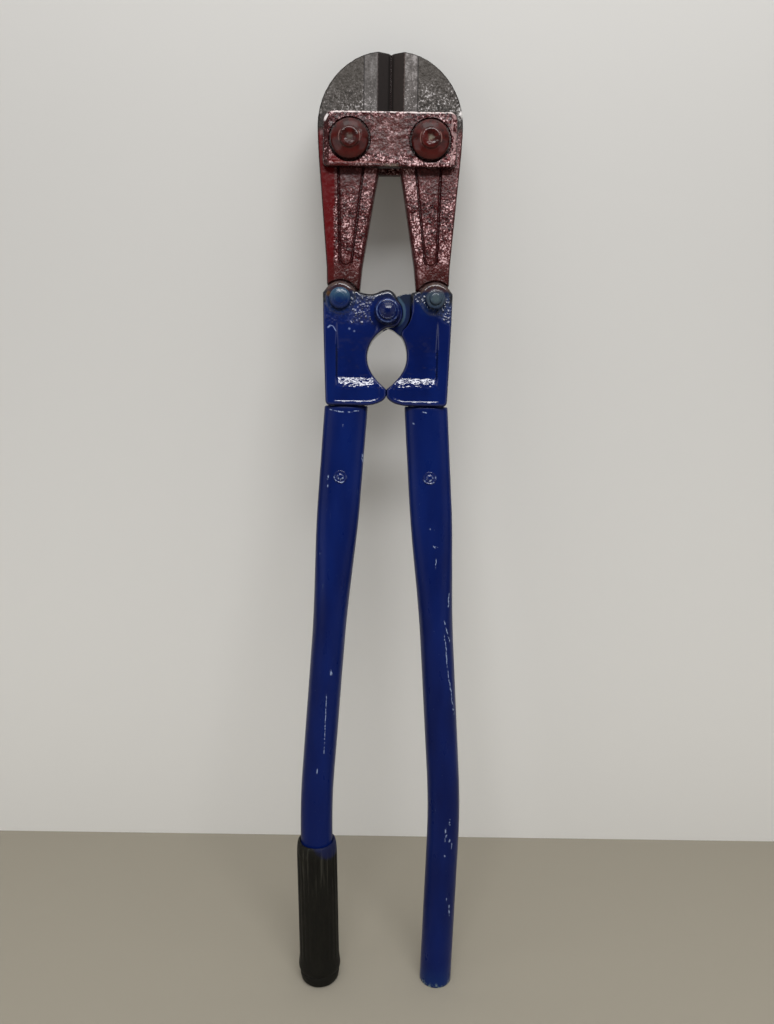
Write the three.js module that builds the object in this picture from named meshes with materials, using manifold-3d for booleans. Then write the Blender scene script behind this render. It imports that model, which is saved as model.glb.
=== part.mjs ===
// Compound-action bolt cutters, 36 inch class, closed and standing upright on the handle ends.
// Millimetres, +Z up towards the blades, +X to the right, the front of the tool faces -Y.
// A left-hand piece is built like its right-hand twin and mirrored across the plane x = 0.
import * as THREE from "three";
import { mergeVertices } from "three/addons/utils/BufferGeometryUtils.js";
import Module from "manifold-3d";

const wasm = await Module();
wasm.setup();

// ---- driving dimensions -------------------------------------------------------------------

const GAP = 0.3; // clearance between two pieces that touch
const TIP_Z = 896; // top of the blades above the handle ends
const DEEP = 60; // a cutter this long passes right through any piece

// Pivot centres of the right-hand side, in the plane of the tool
const JAW_PIVOT = { x: 35.2, z: 820.3 };
const LINK_PIVOT = { x: 42.7, z: 686.5 };
const CENTRE_PIVOT = { x: 0, z: 675.5 };

// Jaws
const JAW = {
  halfDepth: 9,
  notchZ: 894.6,
  bladeRadius: 62,
  heelZ: 832,
  widestX: 63.8,
  tongueHalfDepth: 6.5,
  tongueRadius: 14.2,
  shoulderRadius: 17.4,
  bevelX: 11.8,
  bandX: 23.4,
  bandHalfDepth: 8.2,
  edgeHalfDepth: 0.5,
  edgeRound: 0.8,
};

// Tapered hollow on both faces of each jaw arm
const PANEL = { topZ: 806, topInner: 21.6, topOuter: 46.2, endX: 38.1, endZ: 721.4, endRadius: 6.1, depth: 1.4 };

// Strap plates that carry the jaw bolts
const STRAP = { halfWidth: 58.6, bottomZ: 798.2, topZ: 843.5, corner: 4.5, thickness: 8, edge: 1.2 };
const STRAP_END = { width: 5.6, depth: 3.2 }; // sloped ends of the outer face
const STRAP_INNER_Y = JAW.halfDepth + GAP;
const STRAP_OUTER_Y = STRAP_INNER_Y + STRAP.thickness;

// Knuckles, the forged ends that the handle tubes are fixed to
const KNUCKLE = {
  halfDepth: 15,
  edge: 2.6,
  slotHalfDepth: 6.8,
  earRadius: 15.5,
  slotRadius: 14.6,
  lobeRadius: 17.8,
  lobeClearRadius: 20.6,
  centreSlotRadius: 14.4,
  centreTongueRadius: 14,
  bottomZ: 591.5,
  outerX: 58.4,
  tipTopZ: 606.4,
  tipBottomZ: 597.6,
};
const EYE = { topZ: 661.4, halfWidth: 18.1, widestZ: 635.5 }; // opening between the knuckles
const FACE_HOLLOW = { innerX: 10, outerX: 47.4, depth: 3.2, lipZ: 608, rampTopZ: 617.5, fadeZ: 655, endZ: 667 };
const TANG = { bottomZ: 500, clearance: 0.4 };

// Handle tubes: straight, bent slightly inwards near the hand end, flattened over the tang
const TUBE = {
  radius: 16.1,
  wall: 2.6,
  bendX: 64.8,
  bendZ: 192.4,
  upperSlope: -0.0695,
  lowerSlope: 0.0243,
  bendHalfLength: 38,
  flatHalfWidth: 20.2,
  flatHalfDepth: 10.8,
  flatPower: 2.7,
  roundZ: 365,
  flatZ: 505,
  topZ: 590.9,
};
const LEFT_TUBE_END_Z = 3.8; // stops short of the closed end of the grip

// Rivets through the tube and the tang
const RIVET = { z: 525.3, radius: 4, headRadius: 5.8, headHeight: 1.5 };

// Rubber grip on the left handle
const GRIP = {
  topZ: 154,
  radius: 20.4,
  rimRadius: 18.9,
  flutes: 22,
  fluteDepth: 0.55,
  fluteFootZ: 27,
  fluteTopZ: 144,
  collarZ: 16,
  collarRadius: 21.4,
  grooveZ: 12.6,
  footRadius: 16.4,
  endWall: 3.4,
};

// Fasteners
const JAW_BOLT = { radius: 8, headRadius: 16.6, headHeight: 5.4, bossRadius: 8.8, bossHeight: 8.3, tail: 3 };
const JAW_NUT = { acrossFlats: 24, height: 12 };
const JAW_WASHER = { radius: 15, height: 2.5 };
const LINK_BOLT = { radius: 5.5, headRadius: 9.7, headHeight: 5, tail: 2.4 };
const LINK_NUT = { acrossFlats: 17, height: 5.6 };
const CENTRE_BOLT = { radius: 6.5, headRadius: 11.5, headHeight: 6, tail: 3.6 };
const CENTRE_NUT = { acrossFlats: 22, height: 6.2 };
const CENTRE_WASHER = { radius: 12, height: 1.6 };

// Motion: each handle opens by this much about the link pin, and the jaw follows at a fixed ratio
const HANDLE_TRAVEL = THREE.MathUtils.degToRad(53);
const JAW_RATIO = 0.15;

// Steps around a circle
const ROUND = { pin: 20, head: 28, tube: 24, outline: 6 };

// ---- solids -------------------------------------------------------------------------------

// Turns a closed three.js geometry into a solid that can be joined and cut.
function solid(geometry) {
  const bare = geometry.clone();
  bare.deleteAttribute("normal");
  bare.deleteAttribute("uv");
  const merged = mergeVertices(bare, 1e-4);
  return new wasm.Manifold(
    new wasm.Mesh({
      numProp: 3,
      vertProperties: new Float32Array(merged.attributes.position.array),
      triVerts: new Uint32Array(merged.index.array),
    }),
  );
}

// Turns a solid back into a geometry with flat faces.
function surface(body) {
  const mesh = body.getMesh();
  const shared = new THREE.BufferGeometry();
  shared.setAttribute("position", new THREE.BufferAttribute(new Float32Array(mesh.vertProperties), 3));
  shared.setIndex(new THREE.BufferAttribute(new Uint32Array(mesh.triVerts), 1));
  const faceted = shared.toNonIndexed();
  faceted.computeVertexNormals();
  return faceted;
}

// A slab of an outline drawn in the plane of the tool, between two depths, with rounded edges.
function slab(outline, nearY, farY, edge = 0) {
  const geometry = new THREE.ExtrudeGeometry(outline, {
    depth: farY - nearY - 2 * edge,
    curveSegments: ROUND.outline,
    bevelEnabled: edge > 0,
    bevelThickness: edge,
    bevelSize: edge,
    bevelOffset: -edge,
    bevelSegments: 2,
  });
  return solid(geometry.rotateX(Math.PI / 2).translate(0, farY - edge, 0));
}

// A round bar across the tool at a pivot, between two depths.
function crossBar(pivot, radius, nearY, farY, steps = ROUND.pin) {
  const bar = new THREE.CylinderGeometry(radius, radius, farY - nearY, steps);
  return solid(bar.translate(pivot.x, (nearY + farY) / 2, pivot.z));
}

// A turned piece from [radius, height] points that start and end on its axis. It is set on a
// pivot with its foot at footY and grows towards the front (side = -1) or the rear (side = 1).
function turned(points, pivot, footY, side, steps = ROUND.head) {
  const profile = points.map(([radius, height]) => new THREE.Vector2(radius, height));
  const geometry = new THREE.LatheGeometry(profile, steps);
  if (side < 0) geometry.rotateX(Math.PI);
  return solid(geometry.translate(pivot.x, footY, pivot.z));
}

// Points of an outline at polar angles about a pivot, in degrees.
function polar(pivot, radius, degrees) {
  const angle = THREE.MathUtils.degToRad(degrees);
  return [pivot.x + radius * Math.cos(angle), pivot.z + radius * Math.sin(angle)];
}

function arc(outline, pivot, radius, fromDegrees, toDegrees, clockwise = false) {
  const start = THREE.MathUtils.degToRad(fromDegrees);
  const end = THREE.MathUtils.degToRad(toDegrees);
  outline.absarc(pivot.x, pivot.z, radius, start, end, clockwise);
}

function polygon(points) {
  return new THREE.Shape(points.map(([x, z]) => new THREE.Vector2(x, z)));
}

// The same cut on the front and the rear face.
function cutBothFaces(body, cutter) {
  return body.subtract(cutter).subtract(cutter.mirror([0, 1, 0]));
}

// ---- jaws ---------------------------------------------------------------------------------

function jawOutline() {
  const outline = new THREE.Shape();
  const bladeCentre = { x: JAW.widestX - JAW.bladeRadius, z: TIP_Z - JAW.bladeRadius };
  outline.moveTo(GAP, JAW.heelZ);
  outline.lineTo(9.1, 797);
  outline.lineTo(12.4, 780.5);
  outline.lineTo(23.3, 715);
  outline.lineTo(25.3, 694.6);
  outline.lineTo(...polar(LINK_PIVOT, JAW.tongueRadius, 150));
  arc(outline, LINK_PIVOT, JAW.tongueRadius, 150, 400);
  outline.lineTo(55.1, 700);
  outline.lineTo(55.3, 714);
  outline.lineTo(60.7, 783);
  outline.bezierCurveTo(61.9, 797, JAW.widestX, 818, JAW.widestX, bladeCentre.z);
  arc(outline, bladeCentre, JAW.bladeRadius, 0, 89);
  outline.lineTo(GAP, JAW.notchZ);
  return outline;
}

function panelOutline() {
  const outline = new THREE.Shape();
  const end = { x: PANEL.endX, z: PANEL.endZ };
  outline.moveTo(PANEL.topOuter, PANEL.topZ);
  outline.lineTo(PANEL.topInner, PANEL.topZ);
  outline.lineTo(...polar(end, PANEL.endRadius, 188));
  arc(outline, end, PANEL.endRadius, 188, 359);
  return outline;
}

// A bar along Z with a cross-section in the plane of X and Y, that grinds a blade's face.
function grindingBar(points) {
  const section = polygon(points);
  const bar = new THREE.ExtrudeGeometry(section, { depth: TIP_Z + 10 - JAW.heelZ, bevelEnabled: false });
  return solid(bar.translate(0, 0, JAW.heelZ));
}

function jaw() {
  const front = -JAW.halfDepth;
  let body = slab(jawOutline(), -JAW.halfDepth, JAW.halfDepth, JAW.edgeRound);
  const shoulder = crossBar(LINK_PIVOT, JAW.shoulderRadius, -DEEP, -JAW.tongueHalfDepth, ROUND.head);
  body = cutBothFaces(body, shoulder);
  const ground = grindingBar([
    [-2, front - 2],
    [JAW.bandX, front - 2],
    [JAW.bandX, front],
    [JAW.bevelX, -JAW.bandHalfDepth],
    [GAP, -JAW.edgeHalfDepth],
    [-2, -JAW.edgeHalfDepth],
  ]);
  body = cutBothFaces(body, ground);
  body = cutBothFaces(body, slab(panelOutline(), front - 2, front + PANEL.depth));
  body = body.subtract(crossBar(JAW_PIVOT, JAW_BOLT.radius + GAP, -DEEP, DEEP));
  return body.subtract(crossBar(LINK_PIVOT, LINK_BOLT.radius + GAP, -DEEP, DEEP));
}

// ---- strap plates -------------------------------------------------------------------------

function strapOutline() {
  const { halfWidth, bottomZ, topZ, corner } = STRAP;
  const outline = new THREE.Shape();
  outline.moveTo(-halfWidth + corner, bottomZ);
  arc(outline, { x: halfWidth - corner, z: bottomZ + corner }, corner, -90, 0);
  arc(outline, { x: halfWidth - corner, z: topZ - corner }, corner, 0, 90);
  arc(outline, { x: -halfWidth + corner, z: topZ - corner }, corner, 90, 180);
  arc(outline, { x: -halfWidth + corner, z: bottomZ + corner }, corner, 180, 270);
  return outline;
}

// The front plate; the rear one is its mirror image.
function strapPlate() {
  let body = slab(strapOutline(), -STRAP_OUTER_Y, -STRAP_INNER_Y, STRAP.edge);
  for (const side of [-1, 1]) {
    const slopeStart = STRAP.halfWidth - STRAP_END.width;
    const section = polygon([
      [side * slopeStart, -STRAP_OUTER_Y],
      [side * (STRAP.halfWidth + 2), -STRAP_OUTER_Y + STRAP_END.depth * 1.4],
      [side * (STRAP.halfWidth + 2), -STRAP_OUTER_Y - 2],
      [side * slopeStart, -STRAP_OUTER_Y - 2],
    ]);
    const length = STRAP.topZ - STRAP.bottomZ + 10;
    const slope = new THREE.ExtrudeGeometry(section, { depth: length, bevelEnabled: false });
    body = body.subtract(solid(slope.translate(0, 0, STRAP.bottomZ - 5)));
    const hole = { x: side * JAW_PIVOT.x, z: JAW_PIVOT.z };
    body = body.subtract(crossBar(hole, JAW_BOLT.radius + GAP, -DEEP, 0));
  }
  return body;
}

// ---- handle tubes -------------------------------------------------------------------------

// Distance of the handle's centre line from the middle of the tool at a height.
function handleX(z) {
  const { bendX, bendZ, upperSlope, lowerSlope, bendHalfLength } = TUBE;
  const rise = z - bendZ;
  if (rise > bendHalfLength) return bendX + upperSlope * rise;
  const start = Math.max(rise + bendHalfLength, 0);
  return bendX + lowerSlope * rise + ((upperSlope - lowerSlope) * start ** 2) / (4 * bendHalfLength);
}

// Half width, half depth and roundness of the tube's section at a height.
function tubeSection(z) {
  const flat = THREE.MathUtils.smoothstep(z, TUBE.roundZ, TUBE.flatZ);
  return {
    halfWidth: THREE.MathUtils.lerp(TUBE.radius, TUBE.flatHalfWidth, flat),
    halfDepth: THREE.MathUtils.lerp(TUBE.radius, TUBE.flatHalfDepth, flat),
    power: THREE.MathUtils.lerp(2, TUBE.flatPower, flat),
  };
}

// A closed skin around the handle's centre line, one ring of points for each height in rows.
// ring(z, c, s) gives the offset of a point from the centre line, with c and s the cosine and
// sine of its angle.
function handleSkin(rows, steps, ring) {
  const geometry = new THREE.CylinderGeometry(1, 1, 1, steps, rows.length - 1);
  const position = geometry.attributes.position;
  for (let i = 0; i < position.count; i += 1) {
    const row = Math.round((position.getY(i) + 0.5) * (rows.length - 1));
    const z = rows[row];
    const [x, y] = ring(z, position.getX(i), -position.getZ(i));
    position.setXYZ(i, handleX(z) + x, y, z);
  }
  return solid(geometry);
}

function tubeSkin(rows, inset) {
  return handleSkin(rows, ROUND.tube, (z, c, s) => {
    const { halfWidth, halfDepth, power } = tubeSection(z);
    const x = Math.sign(c) * Math.abs(c) ** (2 / power) * (halfWidth - inset);
    const y = Math.sign(s) * Math.abs(s) ** (2 / power) * (halfDepth - inset);
    return [x, y];
  });
}

function heights(fromZ, toZ, count) {
  return Array.from({ length: count + 1 }, (_, i) => THREE.MathUtils.lerp(fromZ, toZ, i / count));
}

function tubeRows(bottomZ, topZ) {
  const bend = heights(TUBE.bendZ - TUBE.bendHalfLength, TUBE.bendZ + TUBE.bendHalfLength, 4);
  const flattening = heights(TUBE.roundZ, TUBE.flatZ, 6);
  return [bottomZ, ...bend, ...flattening, topZ];
}

function handleTube(bottomZ) {
  const outer = tubeSkin(tubeRows(bottomZ, TUBE.topZ), 0);
  const bore = tubeSkin(tubeRows(bottomZ - 5, TUBE.topZ + 5), TUBE.wall);
  return outer.subtract(bore).subtract(rivetHole());
}

function rivetPlace() {
  return { x: handleX(RIVET.z), z: RIVET.z };
}

function rivetHole() {
  return crossBar(rivetPlace(), RIVET.radius + GAP, -DEEP, DEEP);
}

function rivet() {
  const seat = TUBE.flatHalfDepth + GAP;
  let body = crossBar(rivetPlace(), RIVET.radius, -seat - 0.2, seat + 0.2);
  const { headRadius, headHeight } = RIVET;
  const head = [
    [0, 0],
    [headRadius, 0],
    [headRadius - 0.5, headHeight * 0.55],
    [headRadius - 2.2, headHeight],
    [0, headHeight],
  ];
  for (const side of [-1, 1]) body = body.add(turned(head, rivetPlace(), side * seat, side, ROUND.pin));
  return body;
}

// ---- knuckles -----------------------------------------------------------------------------

// Outer side, shoulder and ear, shared by both knuckles: from the bottom corner to the ear's
// inner end.
function knuckleFlank(outline) {
  outline.lineTo(51.5, KNUCKLE.bottomZ);
  outline.quadraticCurveTo(55.6, KNUCKLE.bottomZ, 55.8, KNUCKLE.bottomZ + 4.5);
  outline.lineTo(57, 632);
  outline.lineTo(58, 666);
  outline.lineTo(KNUCKLE.outerX, 691.6);
  outline.lineTo(...polar(LINK_PIVOT, KNUCKLE.earRadius, 43));
  arc(outline, LINK_PIVOT, KNUCKLE.earRadius, 43, 152);
}

// Lower edge of a knuckle, from the tip that meets its twin.
function knuckleFoot(outline) {
  outline.moveTo(GAP, KNUCKLE.tipBottomZ);
  outline.quadraticCurveTo(8, KNUCKLE.bottomZ, 18, KNUCKLE.bottomZ);
}

// Edge along the eye-shaped opening, from its widest point down to the tip.
function eyeEdge(outline) {
  outline.bezierCurveTo(EYE.halfWidth, 626, 13, 616.5, GAP, KNUCKLE.tipTopZ);
}

function forkedKnuckleOutline() {
  const outline = new THREE.Shape();
  knuckleFoot(outline);
  knuckleFlank(outline);
  outline.bezierCurveTo(24, 692.4, 17, 689.8, ...polar(CENTRE_PIVOT, KNUCKLE.lobeRadius, 56));
  arc(outline, CENTRE_PIVOT, KNUCKLE.lobeRadius, 56, 215);
  outline.quadraticCurveTo(-8, EYE.topZ + 0.6, 0, EYE.topZ);
  outline.bezierCurveTo(11, 656.5, EYE.halfWidth, 646, EYE.halfWidth, EYE.widestZ);
  eyeEdge(outline);
  return outline;
}

function tonguedKnuckleOutline() {
  const outline = new THREE.Shape();
  knuckleFoot(outline);
  knuckleFlank(outline);
  outline.lineTo(KNUCKLE.lobeClearRadius + 1.4, 693);
  outline.lineTo(KNUCKLE.lobeClearRadius, 691);
  outline.lineTo(...polar(CENTRE_PIVOT, KNUCKLE.lobeClearRadius, 0));
  arc(outline, CENTRE_PIVOT, KNUCKLE.lobeClearRadius, 0, -45, true);
  outline.lineTo(12.9, 658);
  outline.lineTo(12.4, 654.4);
  outline.bezierCurveTo(16, 650, EYE.halfWidth, 643, EYE.halfWidth, EYE.widestZ);
  eyeEdge(outline);
  return outline;
}

// Thin tongue of the right knuckle, that turns between the cheeks of the left one.
function centreTongue() {
  const outline = new THREE.Shape();
  outline.moveTo(23.5, 659);
  outline.lineTo(23.5, 692.4);
  outline.lineTo(15, 692);
  outline.lineTo(...polar(CENTRE_PIVOT, KNUCKLE.centreTongueRadius, 68));
  arc(outline, CENTRE_PIVOT, KNUCKLE.centreTongueRadius, 68, 270);
  outline.lineTo(5.6, 659.4);
  outline.lineTo(13, 653.6);
  return slab(outline, -JAW.tongueHalfDepth, JAW.tongueHalfDepth);
}

// Places of the centre bolt on the right knuckle while the tool opens. The fixed ratio between
// jaw and handle holds the two knuckles a little off the bolt's centre in mid travel.
function centrePath() {
  const steps = 5;
  const armX = LINK_PIVOT.x - JAW_PIVOT.x;
  const armZ = LINK_PIVOT.z - JAW_PIVOT.z;
  const handX = CENTRE_PIVOT.x - LINK_PIVOT.x;
  const handZ = CENTRE_PIVOT.z - LINK_PIVOT.z;
  return Array.from({ length: steps + 1 }, (_, step) => {
    const travel = (HANDLE_TRAVEL * step) / steps;
    const jawTurn = JAW_RATIO * travel;
    const handTurn = travel - jawTurn;
    const armXNow = armX * Math.cos(jawTurn) + armZ * Math.sin(jawTurn);
    const handXNow = handX * Math.cos(handTurn) - handZ * Math.sin(handTurn);
    const offCentre = JAW_PIVOT.x + armXNow + handXNow;
    return {
      x: CENTRE_PIVOT.x - 2 * offCentre * Math.cos(handTurn),
      z: CENTRE_PIVOT.z + 2 * offCentre * Math.sin(handTurn),
    };
  });
}

// Room that a round piece about the centre bolt needs in the opposite knuckle.
function centreSweep(radius, halfDepth, steps) {
  return wasm.Manifold.hull(
    centrePath().map((place) => crossBar(place, radius, -halfDepth, halfDepth, steps)),
  );
}

// Slot between the ears for the jaw's tongue, open upwards and outwards where the jaw swings.
function earSlot() {
  const { x, z } = LINK_PIVOT;
  const { slotHalfDepth, slotRadius } = KNUCKLE;
  const swing = polygon([
    [x + 13, z - 6],
    [x + 40, z - 6],
    [x + 40, z + 40],
    [x - 22, z + 40],
    [x - 22, z + 6.4],
    [x - 13, z + 6.4],
  ]);
  return slab(swing, -slotHalfDepth, slotHalfDepth).add(
    crossBar(LINK_PIVOT, slotRadius, -slotHalfDepth, slotHalfDepth, ROUND.head),
  );
}

// Slot between the left knuckle's cheeks for the right knuckle's tongue.
function centreSlot() {
  const { x, z } = CENTRE_PIVOT;
  const { slotHalfDepth, centreSlotRadius } = KNUCKLE;
  const swing = polygon([
    [x, z - 10],
    [x + 13.4, z + 4.2],
    [x + 20.1, z + 19.5],
    [x + 20.1, z + 40],
    [x - 40, z + 40],
    [x - 40, z - 30],
    [x, z - 30],
  ]);
  const room = slab(swing, -slotHalfDepth, slotHalfDepth);
  return room.add(centreSweep(centreSlotRadius, slotHalfDepth, ROUND.head));
}

// Shallow hollow in the knuckle's face, that ramps out to a thick lip at the bottom.
function faceHollow() {
  const { innerX, outerX, depth, lipZ, rampTopZ, fadeZ, endZ } = FACE_HOLLOW;
  const face = -KNUCKLE.halfDepth;
  const section = polygon([
    [face, lipZ],
    [face + depth, rampTopZ],
    [face + depth, fadeZ],
    [face, endZ],
    [face - 2, endZ],
    [face - 2, lipZ],
  ]);
  const bar = new THREE.ExtrudeGeometry(section, { depth: outerX - innerX, bevelEnabled: false });
  const lieAlongX = new THREE.Matrix4().set(0, 0, 1, innerX, 1, 0, 0, 0, 0, 1, 0, 0, 0, 0, 0, 1);
  return solid(bar.applyMatrix4(lieAlongX));
}

function tang() {
  const rows = [TANG.bottomZ, TUBE.flatZ, KNUCKLE.bottomZ + 4];
  return tubeSkin(rows, TUBE.wall + TANG.clearance);
}

function knuckle(outline) {
  let body = slab(outline, -KNUCKLE.halfDepth, KNUCKLE.halfDepth, KNUCKLE.edge);
  body = cutBothFaces(body, faceHollow());
  body = body.subtract(earSlot()).add(tang()).subtract(rivetHole());
  return body.subtract(crossBar(LINK_PIVOT, LINK_BOLT.radius + GAP, -DEEP, DEEP));
}

function forkedKnuckle() {
  const body = knuckle(forkedKnuckleOutline()).subtract(centreSlot());
  return body.subtract(crossBar(CENTRE_PIVOT, CENTRE_BOLT.radius + GAP, -DEEP, DEEP));
}

function tonguedKnuckle() {
  const lobeRoom = centreSweep(KNUCKLE.lobeRadius + 2 * GAP, DEEP, ROUND.head);
  const boltRoom = centreSweep(CENTRE_BOLT.radius + GAP, DEEP, ROUND.pin);
  return knuckle(tonguedKnuckleOutline()).subtract(lobeRoom).add(centreTongue()).subtract(boltRoom);
}

// ---- grip ---------------------------------------------------------------------------------

// Outer radius of the grip at a height, without the flutes.
const GRIP_PROFILE = [
  [0, GRIP.footRadius],
  [2.6, 18.6],
  [GRIP.grooveZ, 19.9],
  [GRIP.grooveZ + 1.2, 21],
  [GRIP.collarZ, GRIP.collarRadius],
  [GRIP.fluteFootZ, GRIP.radius],
  [GRIP.fluteTopZ, GRIP.radius],
  [GRIP.topZ, GRIP.rimRadius],
];

function grip() {
  const radiusAt = new Map(GRIP_PROFILE);
  const rows = GRIP_PROFILE.map(([z]) => z);
  const outer = handleSkin(rows, GRIP.flutes * 4, (z, c, s) => {
    const fluted = z >= GRIP.fluteFootZ && z <= GRIP.fluteTopZ;
    const ripple = fluted ? GRIP.fluteDepth * (1 - Math.cos(GRIP.flutes * Math.atan2(s, c))) : 0;
    const radius = radiusAt.get(z) - ripple;
    return [c * radius, s * radius];
  });
  const boreRadius = TUBE.radius + GAP;
  const bore = handleSkin([GRIP.endWall, 60, GRIP.topZ + 5], ROUND.tube, (z, c, s) => [
    c * boreRadius,
    s * boreRadius,
  ]);
  return outer.subtract(bore);
}

// ---- fasteners ----------------------------------------------------------------------------

// Six-sided nut on a pivot, its foot at footY, growing towards side, with chamfered corners.
function hexNut(size, bore, pivot, footY, side) {
  const cornerRadius = size.acrossFlats / Math.sqrt(3);
  const chamfer = cornerRadius - size.acrossFlats / 2;
  const prism = new THREE.CylinderGeometry(cornerRadius, cornerRadius, size.height, 6);
  prism.translate(pivot.x, footY + (side * size.height) / 2, pivot.z);
  const blank = [
    [0, 0],
    [cornerRadius, 0],
    [cornerRadius, size.height - chamfer * 0.8],
    [cornerRadius - chamfer * 1.5, size.height],
    [0, size.height],
  ];
  const hole = crossBar(pivot, bore, -DEEP, DEEP);
  return solid(prism).intersect(turned(blank, pivot, footY, side)).subtract(hole);
}

// Domed head with a low rim; its foot is at height 0.
function domedHead(radius, height) {
  return [
    [0, 0],
    [radius, 0],
    [radius, height * 0.3],
    [radius * 0.93, height * 0.55],
    [radius * 0.72, height * 0.84],
    [radius * 0.4, height],
    [0, height],
  ];
}

// Shank from a head at one side to past a seat at the other, with a slightly rounded end.
function shank(radius, length) {
  return [
    [0, 0],
    [radius, 0],
    [radius, length - radius * 0.3],
    [radius * 0.62, length],
    [0, length],
  ];
}

// Bolt with its head on the side given and its end past endY on the other side.
function bolt(size, headProfile, pivot, seatY, endY, headSide) {
  const head = turned(headProfile, pivot, headSide * seatY, headSide);
  const overlap = 0.5;
  const length = seatY + endY + overlap;
  const body = turned(shank(size.radius, length), pivot, headSide * (seatY + overlap), -headSide, ROUND.pin);
  return head.add(body);
}

function jawBolt() {
  const { headRadius, headHeight, bossRadius, bossHeight, tail } = JAW_BOLT;
  const head = [
    [0, 0],
    [headRadius, 0],
    [headRadius, 1.6],
    [headRadius - 1.6, 3.4],
    [headRadius - 4.4, 4.7],
    [bossRadius + 1.2, headHeight],
    [bossRadius, headHeight],
    [bossRadius - 0.8, bossHeight - 0.9],
    [bossRadius - 3.4, bossHeight],
    [0, bossHeight],
  ];
  const seat = STRAP_OUTER_Y + GAP;
  const nutEnd = seat + JAW_WASHER.height + GAP + JAW_NUT.height;
  return bolt(JAW_BOLT, head, JAW_PIVOT, seat, nutEnd + tail, -1);
}

function washer(size, bore, pivot, footY, side) {
  const disc = [
    [0, 0],
    [size.radius, 0],
    [size.radius, size.height * 0.7],
    [size.radius - size.height * 0.3, size.height],
    [0, size.height],
  ];
  return turned(disc, pivot, footY, side).subtract(crossBar(pivot, bore, -DEEP, DEEP));
}

const KNUCKLE_SEAT = KNUCKLE.halfDepth + GAP;

function linkBolt(headSide) {
  const head = domedHead(LINK_BOLT.headRadius, LINK_BOLT.headHeight);
  const end = KNUCKLE_SEAT + LINK_NUT.height + LINK_BOLT.tail;
  return bolt(LINK_BOLT, head, LINK_PIVOT, KNUCKLE_SEAT, end, headSide);
}

function centreBolt() {
  const head = domedHead(CENTRE_BOLT.headRadius, CENTRE_BOLT.headHeight);
  const end = KNUCKLE_SEAT + CENTRE_WASHER.height + GAP + CENTRE_NUT.height + CENTRE_BOLT.tail;
  return bolt(CENTRE_BOLT, head, CENTRE_PIVOT, KNUCKLE_SEAT, end, 1);
}

// ---- assembly -----------------------------------------------------------------------------

const FINISH = {
  bladeSteel: { color: "#4b4745", roughness: 0.45, metalness: 0.9 },
  redPaint: { color: "#6a2a2c", roughness: 0.35, metalness: 0.1 },
  darkRedPaint: { color: "#4d1216", roughness: 0.25, metalness: 0.1 },
  bluePaint: { color: "#0b2066", roughness: 0.3, metalness: 0.05 },
  steel: { color: "#7d7f80", roughness: 0.4, metalness: 0.9 },
  rubber: { color: "#1c1c18", roughness: 0.75, metalness: 0 },
};

const boltCutters = new THREE.Group();
boltCutters.name = "bolt_cutters";

// Adds a named piece; a mirrored piece is flipped across the plane x = 0.
function addPiece(name, body, finish, mirrored = false) {
  const mesh = new THREE.Mesh(surface(body), new THREE.MeshStandardMaterial(finish));
  mesh.name = name;
  mesh.scale.x = mirrored ? -1 : 1;
  boltCutters.add(mesh);
}

const frontStrap = strapPlate();
addPiece("front_strap_plate", frontStrap, FINISH.redPaint);
addPiece("rear_strap_plate", frontStrap.mirror([0, 1, 0]), FINISH.redPaint);

const washerFoot = STRAP_OUTER_Y + GAP;
const jawNutFoot = washerFoot + JAW_WASHER.height + GAP;
for (const [side, mirrored] of [["left", true], ["right", false]]) {
  const boltBore = JAW_BOLT.radius + GAP;
  addPiece(`${side}_jaw`, jaw(), FINISH.bladeSteel, mirrored);
  addPiece(`${side}_jaw_bolt`, jawBolt(), FINISH.darkRedPaint, mirrored);
  addPiece(
    `${side}_jaw_washer`,
    washer(JAW_WASHER, boltBore, JAW_PIVOT, washerFoot, 1),
    FINISH.steel,
    mirrored,
  );
  addPiece(
    `${side}_jaw_nut`,
    hexNut(JAW_NUT, boltBore, JAW_PIVOT, jawNutFoot, 1),
    FINISH.darkRedPaint,
    mirrored,
  );
}

addPiece("left_knuckle", forkedKnuckle(), FINISH.bluePaint, true);
addPiece("right_knuckle", tonguedKnuckle(), FINISH.bluePaint);

// The left link bolt goes in from the front and the right one from the rear.
const linkBore = LINK_BOLT.radius + GAP;
for (const [side, headSide] of [["left", -1], ["right", 1]]) {
  const mirrored = side === "left";
  const nut = hexNut(LINK_NUT, linkBore, LINK_PIVOT, -headSide * KNUCKLE_SEAT, -headSide);
  addPiece(`${side}_link_bolt`, linkBolt(headSide), FINISH.bluePaint, mirrored);
  addPiece(`${side}_link_nut`, nut, FINISH.bluePaint, mirrored);
}

const centreBore = CENTRE_BOLT.radius + GAP;
const centreNutFoot = KNUCKLE_SEAT + CENTRE_WASHER.height + GAP;
addPiece("centre_bolt", centreBolt(), FINISH.bluePaint);
addPiece(
  "centre_washer",
  washer(CENTRE_WASHER, centreBore, CENTRE_PIVOT, -KNUCKLE_SEAT, -1),
  FINISH.bluePaint,
);
addPiece("centre_nut", hexNut(CENTRE_NUT, centreBore, CENTRE_PIVOT, -centreNutFoot, -1), FINISH.bluePaint);

addPiece("left_handle_tube", handleTube(LEFT_TUBE_END_Z), FINISH.bluePaint, true);
addPiece("right_handle_tube", handleTube(0), FINISH.bluePaint);
addPiece("left_tube_rivet", rivet(), FINISH.bluePaint, true);
addPiece("right_tube_rivet", rivet(), FINISH.bluePaint);
addPiece("left_grip", grip(), FINISH.rubber, true);

export default boltCutters;
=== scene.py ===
"""Looks of a pair of compound-action bolt cutters: forged jaws, straps and knuckles, and bent
tubular handles. Lengths are in millimetres until a mesh is made, and every piece is drawn for
the right-hand side and mirrored across x = 0 for the left."""
import logging
import math
from collections.abc import Callable, Iterable, Sequence
from dataclasses import dataclass
from enum import Enum
from typing import Any

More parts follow.
